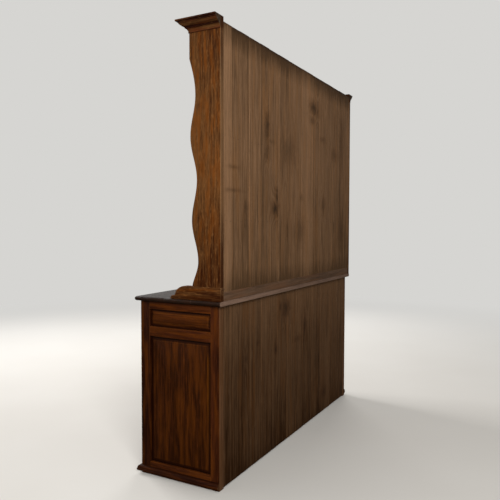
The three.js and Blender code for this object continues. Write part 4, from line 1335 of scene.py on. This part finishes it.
def top_plank(low, high, front_nose):
    """A plank of the top: rectangles stacked from its underside to its upper face.

    Their ends stand in by nose * (1 - cos a) at the height (1 + sin a) / 2, and so does their front
    by its own nose."""
    turn = np.linspace(-math.pi / 2, math.pi / 2, NOSE_STEPS + 1)
    inset = 1 - np.cos(turn)
    level = low[2] + (high[2] - low[2]) * (1 + np.sin(turn)) / 2
    front = low[1] + front_nose * inset
    x0 = low[0] + TOP_NOSE_DEPTH * inset
    x1 = high[0] - TOP_NOSE_DEPTH * inset
    outlines, wear = seen_from_above(x0, x1, front, high[1], FINE_EASE)
    return grained(skin(carried(outlines, level, "xyz"), wear), "yzx")


top_low, top_high = place_of("dresser_top")
top_parts = []
plank_front = top_low[1]
for number, share in enumerate(TOP_PLANK_SHARES):
    plank_rear = plank_front + share * (top_high[1] - top_low[1])
    last = number == len(TOP_PLANK_SHARES) - 1
    rear = top_high[1] if last else plank_rear - LAP_SLACK / 2
    low, high = spanning("dresser_top", 1, plank_front, rear)
    top_parts.append(top_plank(low, high, TOP_NOSE_DEPTH if number == 0 else 0))
    plank_front = plank_rear
wooden("dresser_top", top_parts, oak_top, rear=top_rear_oak)

# The rack


def cheek_edge(front, foot_top, wave_top, top):
    """A cheek's waved front edge as (y, z), from its top down.

    Between two turns the edge is y = y0 + (y1 - y0)(1 - cos pi t) / 2. Above the first it is a
    quarter sine."""
    size = [CHEEK_WAVE_DEPTH, wave_top - foot_top]
    turns = np.array(CHEEK_TURN_SHARES)[:, ::-1] * size + [front, foot_top]
    t = np.arange(1, WAVE_STEPS + 1)[:, None] / WAVE_STEPS
    levels = np.linspace(top, wave_top, STRAIGHT_STEPS)
    path = [np.stack([np.full(STRAIGHT_STEPS, front), levels], -1)]
    start = np.array([front, wave_top])
    path.append(start + (turns[0] - start) * np.hstack([np.sin(t * math.pi / 2), t]))
    lowest = foot_top + CHEEK_TOE_LAND
    for above, below in zip(turns[:-1], turns[1:]):
        reach = min(1.0, (above[1] - lowest) / (above[1] - below[1])) * t
        path.append(above + (below - above) * np.hstack([(1 - np.cos(reach * math.pi)) / 2, reach]))
    path.append([[path[-1][-1][0], foot_top]])
    return np.concatenate(path)


def waved_board(low, high, edge):
    """An upright board with a waved front: its section at each level starts at the edge."""
    front, levels = edge.T
    outlines, wear = seen_from_above(low[0], high[0], front, high[1], BOARD_EASE)
    return grained(skin(carried(outlines, levels, "xyz"), wear), "yxz")


def foot_outline(low, high):
    """A foot seen from the end: a round toe, a step, and a long rounded shoulder."""
    turn = np.linspace(0, math.pi / 2, ARC_STEPS + 1)
    across, up = 1 - np.cos(turn), np.sin(turn)
    shoulder = low[1] + FOOT_TOE_RADIUS + FOOT_TOE_STEP
    rise = high[2] - low[2] - FOOT_TOE_RADIUS
    toe = [low[1] + FOOT_TOE_RADIUS * across, low[2] + FOOT_TOE_RADIUS * up]
    rounding = [shoulder + FOOT_SHOULDER_LENGTH * across, low[2] + FOOT_TOE_RADIUS + rise * up]
    rear = [[high[1], high[2]], [high[1], low[2]]]
    return np.concatenate([np.stack(toe, -1), np.stack(rounding, -1), rear])[::-1]


foot_high = place_of("right_rack_foot")[1]
frieze_low, frieze_high = place_of("frieze")
wave_top = frieze_low[2]
for end in ENDS:
    node = f"{end}_rack_cheek"
    low, high = place_of(node)
    cheek = waved_board(low, high, cheek_edge(frieze_low[1], foot_high[2], wave_top, high[2]))
    stained(cheek, foot_high[2], high[2], CHEEK_SHADE_SHARES)
    stained(cheek, low[1], high[1], CHEEK_DEPTH_SHARES, 1)
    wooden(node, [cheek], oak_warm, rear=rack_rear_oak)
    node = f"{end}_rack_foot"
    low, high = place_of(node)
    foot = cut_out(foot_outline(low, high), (low[0], high[0]), "yzx", BOARD_EASE)
    foot = stained(grained(foot, "zxy"), low[2], high[2], FOOT_SHADE_SHARES)
    wooden(node, [foot], oak_warm, rear=rack_rear_oak)

rack_inner = cheek_low[0]
share = np.linspace(0, 1, FRIEZE_WAVE_COUNT * WAVE_STEPS + 1)
rises = (1 - np.cos(share * FRIEZE_WAVE_COUNT * 2 * math.pi)) / 2
arches = np.stack([-rack_inner + 2 * rack_inner * share, wave_top + FRIEZE_WAVE_DEPTH * rises], -1)
corners = [[rack_inner, frieze_high[2]], [-rack_inner, frieze_high[2]]]
frieze = cut_out(np.concatenate([arches, corners]), (frieze_low[1], frieze_high[1]), "xzy")
wooden("frieze", [grained(frieze, "zyx")], oak_warm)

low, high = spanning("rack_rear_rail", 0, -rack_inner, rack_inner)
wooden("rack_rear_rail", [board(low, high, "zyx")], pine_rail)


def shelf(node):
    """A rack shelf: a section with a round nose and a plate groove, carried across the rack."""
    low, high = spanning(node, 0, -rack_inner, rack_inner)
    groove_rear = high[1] - PLATE_GROOVE_INSET
    groove_front = groove_rear - PLATE_GROOVE_WIDTH
    floor = high[2] - PLATE_GROOVE_DEPTH
    rounds = [
        ((low[1], low[2]), SHELF_NOSE),
        ((high[1], low[2]), EASE),
        ((high[1], high[2]), EASE),
        ((groove_rear, high[2]), FINE_EASE),
        ((groove_rear, floor), FINE_EASE),
        ((groove_front, floor), FINE_EASE),
        ((groove_front, high[2]), FINE_EASE),
        ((low[1], high[2]), SHELF_NOSE),
    ]
    section, radii = (np.array(column) for column in zip(*rounds))
    outlines, wear = rounded(section[None], radii[None], np.full(len(rounds), ROUND_BULGE))
    rings = carried(np.repeat(outlines, 2, 0), [low[0], high[0]], "yzx")
    return grained(skin(rings, np.repeat(wear, 2, 0)), "yzx")


for node in ("lower_shelf", "upper_shelf"):
    wooden(node, [shelf(node)], oak_warm)
low, high = spanning("rack_top_board", 0, -rack_inner, rack_inner)
wooden("rack_top_board", [board(low, high, "yzx", FINE_EASE)], pine_inside)

# Back boards


def lapped_section(low, high, rear, sides, openings):
    """A board's section, its radii and its bulges, and where its left and right edges are.

    Its front lip runs under the next board's rear half. Sides are the places of its right and left
    joints, and openings say how open they are: 0 is an end of the back, which has no lap."""
    half = (low[1] + high[1]) / 2
    first, last = (opening == 0 for opening in openings)
    x_right = sides[0] - BOARD_GAP * openings[0] / 2
    x_left = sides[1] + BOARD_GAP * openings[1] / 2
    lip_right = x_right if first else sides[0] - BOARD_LAP - LAP_SLACK
    lip_left = x_left if last else sides[1] - BOARD_LAP + LAP_SLACK
    chamfers = np.maximum(BOARD_CHAMFER * np.array(openings), FINE_EASE)
    corners = [
        ((lip_left, low[1]), FINE_EASE, ROUND_BULGE),
        ((lip_right, low[1]), FINE_EASE, ROUND_BULGE),
        ((lip_right, half - LAP_SLACK), FINE_EASE, ROUND_BULGE),
        ((x_right, half - LAP_SLACK), FINE_EASE, ROUND_BULGE),
        ((x_right, rear), chamfers[0], CHAMFER_BULGE),
        ((x_left, rear), chamfers[1], CHAMFER_BULGE),
        ((x_left, half), FINE_EASE, ROUND_BULGE),
        ((lip_left, half), FINE_EASE, ROUND_BULGE),
    ]
    if last:
        del corners[-2:]
    if first:
        del corners[2:4]
    return [np.array(column) for column in zip(*corners)], (x_left, x_right)


def back_board(low, high, sides, openings, tone):
    """One half-lapped upright board, and where its left and right edges and its rear face are.

    Its edges wander by a slow sine, its rear face is a little hollow in places, and its ends and
    its level are a little uneven."""
    rear = high[1] - abs(draws.normal(0, BOARD_LEVEL_SPREAD))
    bottom = low[2] + draws.uniform(0, EASE)
    top = high[2] - draws.uniform(0, EASE)
    (section, radii, bulges), edges = lapped_section(low, high, rear, sides, openings)
    along = np.linspace(bottom, top - TOP_SHADE_BAND, BOARD_STATIONS)
    along = np.concatenate([along, [top - TOP_SHADE_BAND / 2, top]])
    phase = draws.uniform(0, 2 * math.pi)
    wave = BOARD_WAVE if all(openings) else 0
    drift = wave * np.sin((along - bottom) / (top - bottom) * BOARD_WAVE_TURNS + phase)
    cup = BOARD_CUP * (np.sin(along * BOARD_WAVE_TURNS + phase) - 1)
    outlines, wear = rounded(section[None], radii[None], bulges)
    outlines = np.repeat(outlines, len(along), 0)
    wear = np.repeat(wear, len(along), 0)
    outlines[:, :, 0] += drift[:, None]
    in_rear_half = outlines[:, :, 1] > (low[1] + high[1]) / 2
    outlines[:, :, 1] += np.where(in_rear_half, cup[:, None], 0)
    shape = grained(skin(carried(outlines, along, "xyz"), wear), "xyz", tone)
    return shape, (*edges, rear)


def back_boards(node, board_shares, shade_shares):
    """The boards of a back from right to left, and the places of their edges."""
    low, high = place_of(node)
    widths, tones, openings = zip(*board_shares)
    joints = high[0] - np.cumsum([0, *widths]) / sum(widths) * (high[0] - low[0])
    openings = [0, *openings]
    shapes = []
    edges = []
    for k, tone in enumerate(tones):
        shape, edge = back_board(low, high, joints[k : k + 2], openings[k : k + 2], tone)
        shapes.append(stained(shape, low[2], high[2], shade_shares))
        edges.append(edge)
    return shapes, edges


rack_boards, rack_edges = back_boards("rack_back_boards", RACK_BOARD_SHARES, RACK_SHADE_SHARES)
wooden("rack_back_boards", rack_boards, pine_rack)
base_boards, base_edges = back_boards("base_back_boards", BASE_BOARD_SHARES, BASE_SHADE_SHARES)
wooden("base_back_boards", base_boards, pine_base)


def nail_heads(edges, levels):
    """Two nail heads across each board at each level.

    A head is a low dome of rings, r cos a out and stand sin a high, and sunk by a share of its
    stand."""
    turn = np.linspace(0, math.pi / 2 * NAIL_TURN_SHARE, NAIL_STEPS)
    height = NAIL_STAND * (np.sin(turn) - NAIL_SUNK_SHARE)
    profile = np.stack([NAIL_RADIUS * np.cos(turn), height], -1)
    shapes = []
    for x_left, x_right, rear in edges:
        width = x_right - x_left
        for level in levels:
            for part in (NAIL_EDGE_SHARE, 1 - NAIL_EDGE_SHARE):
                x = x_left + width * (part + draws.uniform(-NAIL_DRIFT_SHARE, NAIL_DRIFT_SHARE))
                z = level + draws.uniform(-NAIL_DRIFT, NAIL_DRIFT)
                shapes.append(turned(profile, (x, rear, z), "y", NAIL_SIDES))
    return unmarked(shapes)


def middle_levels(nodes):
    """The levels of the middles of some CAD nodes."""
    return [np.mean(place_of(node), axis=0)[2] for node in nodes]


rack_rail_level = place_of("rack_back_boards")[0][2] + NAIL_RAIL_RISE
rack_levels = [rack_rail_level, *middle_levels(RACK_NAILED_NODES)]
base_rail_level = place_of("base_back_boards")[1][2] - NAIL_RAIL_RISE
base_levels = [*middle_levels(BASE_INNER_NODES), base_rail_level]
piece("rack_nails", nail_heads(rack_edges, rack_levels), "dresser", nail_iron, [])
piece("base_nails", nail_heads(base_edges, base_levels), "dresser", nail_iron, [])

# Boards inside the base: copies of the solids with eased edges


def eased_copy(node, finish, axes, body="dresser"):
    """A copy of a CAD node with its faces joined, flat ones dissolved and arrises bevelled."""
    slot, material = finish
    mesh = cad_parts[node].data.copy()
    mesh.name = f"{node}_wood"
    work = bmesh.new()
    work.from_mesh(mesh)
    bmesh.ops.remove_doubles(work, verts=work.verts, dist=JOIN_REACH)
    bmesh.ops.dissolve_limit(work, angle_limit=FLAT_ANGLE, verts=work.verts, edges=work.edges)
    work.to_mesh(mesh)
    work.free()
    points = np.empty(len(mesh.vertices) * 3, np.float32)
    mesh.vertices.foreach_get("co", points)
    shape = grained({"points": points.reshape(-1, 3).astype(float)}, axes)
    mark(mesh, shape, ("grain", "tone", "hue"))
    mesh.materials.clear()
    mesh.materials.append(material)
    made = stand_in(f"{node}_wood", mesh, body, [node])
    bevel = made.modifiers.new("eased", "BEVEL")
    bevel.width = FINE_EASE
    bevel.segments = BEVEL_SEGMENTS
    bevel.limit_method = "ANGLE"
    bevel.angle_limit = BEVEL_ANGLE


for node in BASE_INNER_NODES:
    eased_copy(node, pine_inside, "yzx")

# Knobs, doors and drawers


def turned_knob(node):
    """A knob: its curve spun round the line that stands out from the front, and a plain rear."""
    low, high = place_of(node)
    centre = (low + high) / 2
    stand = body_front - low[1]
    curve = smooth_curve(KNOB_CURVE_SHARES, CURVE_STEPS) * [KNOB_RADIUS, -stand]
    return grained(turned(curve, (centre[0], body_front, centre[2]), "y", KNOB_SIDES), "xzy")


def barrel(axis_place, low, high):
    """A hinge barrel between two levels, with small arrises."""
    ease = KNUCKLE_GAP
    profile = [
        (BARREL_RADIUS - ease, low),
        (BARREL_RADIUS, low + ease),
        (BARREL_RADIUS, high - ease),
        (BARREL_RADIUS - ease, high),
    ]
    return turned(profile, (*axis_place, 0), "z", BARREL_SIDES)


def flat_metal(low, high):
    """A flat piece of metal between two corners, with fine arrises."""
    corners, span = rectangle(low, high, "xyz")
    return plank(corners, span, "xyz", KNUCKLE_GAP / 2)


def finial(axis_place, level, way):
    """The small dome at one end of a hinge's pin: way is 1 upwards and -1 downwards."""
    turn = np.linspace(0, math.pi / 2 * FINIAL_TURN_SHARE, FINIAL_STEPS)
    rise = way * FINIAL_HEIGHT * np.sin(turn)
    profile = np.stack([FINIAL_RADIUS * np.cos(turn), rise], -1)
    return turned(profile, (*axis_place, level), "z", BARREL_SIDES)


def hinge_leaf(low, high, axis_place, flat_at_high, spans):
    """A hinge's leaf, with a barrel and a tab for each of its knuckles."""
    leaf_low, leaf_high = low.copy(), high.copy()
    leaf_low[1] = body_front
    if flat_at_high:
        leaf_low[0] = high[0] - LEAF_THICKNESS
    else:
        leaf_high[0] = low[0] + LEAF_THICKNESS
    shapes = [flat_metal(leaf_low, leaf_high)]
    for start, stop in spans:
        shapes.append(barrel(axis_place, start, stop))
        tab_low = np.array([leaf_low[0], axis_place[1], start + KNUCKLE_GAP])
        tab_high = np.array([leaf_high[0], body_front, stop - KNUCKLE_GAP])
        shapes.append(flat_metal(tab_low, tab_high))
    return shapes


def hinge(end, side, place):
    """Both leaves of a hinge, each with its knuckles; the post's leaf also has the pin."""
    post_node = f"{end}_door_{place}_hinge_post_leaf"
    door_node = f"{end}_door_{place}_hinge_door_leaf"
    low, high = place_of(post_node)
    axis_place = (side * HINGE_AXIS_PLACE, low[1] + BARREL_RADIUS)
    third = (high[2] - low[2]) / KNUCKLE_COUNT
    bottom, lower, upper, top = low[2], low[2] + third, high[2] - third, high[2]
    spans = [(bottom, lower), (upper, top)]
    pin = [(PIN_RADIUS, bottom), (PIN_RADIUS, top)]
    shapes = [
        *hinge_leaf(low, high, axis_place, side > 0, spans),
        finial(axis_place, top, 1),
        finial(axis_place, bottom, -1),
        turned(pin, (*axis_place, 0), "z", PIN_SIDES),
    ]
    piece(f"{post_node}_metal", unmarked(shapes), "dresser", old_brass, [post_node])
    low, high = place_of(door_node)
    spans = [(lower + KNUCKLE_GAP, upper - KNUCKLE_GAP)]
    shapes = hinge_leaf(low, high, axis_place, side < 0, spans)
    piece(f"{door_node}_metal", unmarked(shapes), f"{end}_door", old_brass, [door_node])


def door_frame(low, high, opening):
    """A door's stiles and rails, with a moulded arris round the opening (x0, x1, z0, z1)."""
    x0, x1, z0, z1 = opening
    parts = []
    for left, right, corner in ((low[0], x0, 1), (x1, high[0], 0)):
        cut = moulded_arris(corner, z0, z1, DOOR_MOULDING, MOULDING_BULGE)
        stile_low = np.array([left, low[1], low[2]])
        stile_high = np.array([right, high[1], high[2]])
        parts.append(board(stile_low, stile_high, "xyz", cuts=[cut]))
    for bottom, top, corner in ((low[2], z0, 1), (z1, high[2], 0)):
        cut = moulded_arris(corner, x0, x1, DOOR_MOULDING, MOULDING_BULGE)
        rail_low = np.array([x0, low[1], bottom])
        rail_high = np.array([x1, high[1], top])
        parts.append(board(rail_low, rail_high, "zyx", FINE_EASE, [cut]))
    return parts


for end, side in ENDS.items():
    body = f"{end}_door"
    inner_low, inner_high = place_of(f"{end}_door_panel")
    x0, x1 = inner_low[0] + DOOR_TONGUE, inner_high[0] - DOOR_TONGUE
    z0, z1 = inner_low[2] + DOOR_TONGUE, inner_high[2] - DOOR_TONGUE
    opening = (x0, x1, z0, z1)
    frame_node = f"{end}_door_frame"
    wooden(frame_node, door_frame(*place_of(frame_node), opening), oak_dark, body)
    panel_node = f"{end}_door_panel"
    wooden(panel_node, [front_panel(panel_node, opening)], oak_dark, body)
    knob_node = f"{end}_door_knob"
    wooden(knob_node, [turned_knob(knob_node)], knob_oak, body)
    for place in ("lower", "upper"):
        hinge(end, side, place)

for bay in ("left", "middle", "right"):
    body = f"{bay}_drawer"
    front_node = f"{bay}_drawer_front"
    low, high = place_of(front_node)
    cuts = [moulded_arris(k, low[0], high[0], DRAWER_BEAD, BEAD_BULGE) for k in (0, 1)]
    wooden(front_node, [board(low, high, "zyx", cuts=cuts)], oak_dark, body)
    knob_node = f"{bay}_drawer_knob"
    wooden(knob_node, [turned_knob(knob_node)], knob_oak, body)
    eased_copy(f"{bay}_drawer_box", pine_inside, "xzy", body)

# Camera, floor and light


def look_through(azimuth, elevation, roll, place, lens):
    """A camera whose back points along (sin az cos el, -cos az cos el, sin el), rolled about it."""
    az, el, turn = (math.radians(value) for value in (azimuth, elevation, roll))
    back = Vector((math.sin(az) * math.cos(el), -math.cos(az) * math.cos(el), math.sin(el)))
    level = Vector((math.cos(az), math.sin(az), 0))
    right = level * math.cos(turn) + back.cross(level) * math.sin(turn)
    up = back.cross(right)
    data = bpy.data.cameras.new("camera")
    data.lens = lens
    data.sensor_width = CAMERA_SENSOR
    camera = placed("camera", data)
    turned_by = Matrix((right, up, back)).transposed().to_4x4()
    camera.matrix_world = Matrix.Translation(place) @ turned_by
    bpy.context.scene.camera = camera


def lamp(name, place, target, size, power, colour):
    """A square soft light at a place, turned to a target."""
    data = bpy.data.lights.new(name, "AREA")
    data.size = size
    data.energy = power
    data.color = colour
    made = placed(name, data)
    made.location = place
    made.rotation_mode = "QUATERNION"
    made.rotation_quaternion = (Vector(target) - Vector(place)).to_track_quat("-Z", "Y")


def floor_material():
    """A pale floor that fades into the room's colour far from the dresser.

    Only the camera sees it pale: what it throws back at the dresser is darker, as from a wooden
    floor."""
    r = Recipe(bpy.data.materials.new("pale floor"))
    place = r.add("ShaderNodeTexCoord", {}, "Object")
    cloud = r.noise(place, FLOOR_CLOUD_SIZE, SOFT_CLOUDY)
    seen = r.mix(cloud, *(tint(code) for code in FLOOR_CODES))
    ray = r.add("ShaderNodeLightPath", {}, "Is Camera Ray")
    shown = r.mix(ray, tint(FLOOR_BOUNCE_CODE), seen)
    lit = r.surface(shown, FLOOR_ROUGHNESS, Specular_IOR_Level=0.0)
    far = r.math("MULTIPLY", r.step(r.vector("LENGTH", place), *FLOOR_FADE), ray)
    glow = r.add("ShaderNodeEmission", {"Color": tint(ROOM_CODE), "Strength": 1.0})
    return r.done(r.add("ShaderNodeMixShader", {0: far, 1: lit, 2: glow}))


def pale_floor():
    """A wide square floor round the dresser."""
    mesh = bpy.data.meshes.new("floor")
    corners = ((-1, -1), (1, -1), (1, 1), (-1, 1))
    points = [(x * FLOOR_REACH, y * FLOOR_REACH, 0) for x, y in corners]
    mesh.from_pydata(points, [], [(0, 1, 2, 3)])
    mesh.materials.append(floor_material())
    placed("floor", mesh)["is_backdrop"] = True


def pale_room():
    """The world: one pale colour, dimmer as a light than where a camera or reflection sees it."""
    world = bpy.data.worlds.new("pale room")
    bpy.context.scene.world = world
    r = Recipe(world)
    seen = 0.0
    for ray in ("Is Camera Ray", "Is Glossy Ray", "Is Transmission Ray"):
        seen = r.math("MAXIMUM", r.add("ShaderNodeLightPath", {}, ray), seen)
    strength = r.add("ShaderNodeMapRange", {"Value": seen, "To Min": ROOM_LIGHT, "To Max": 1.0})
    shader = r.add("ShaderNodeBackground", {"Color": tint(ROOM_CODE), "Strength": strength})
    r.done(shader, "ShaderNodeOutputWorld")


look_through(CAMERA_AZIMUTH, CAMERA_ELEVATION, CAMERA_ROLL, CAMERA_PLACE, CAMERA_LENS)
pale_floor()
pale_room()
for name, setting in LAMPS.items():
    lamp(name, *setting)
bpy.context.scene.view_settings.view_transform = "Standard"

low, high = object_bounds()
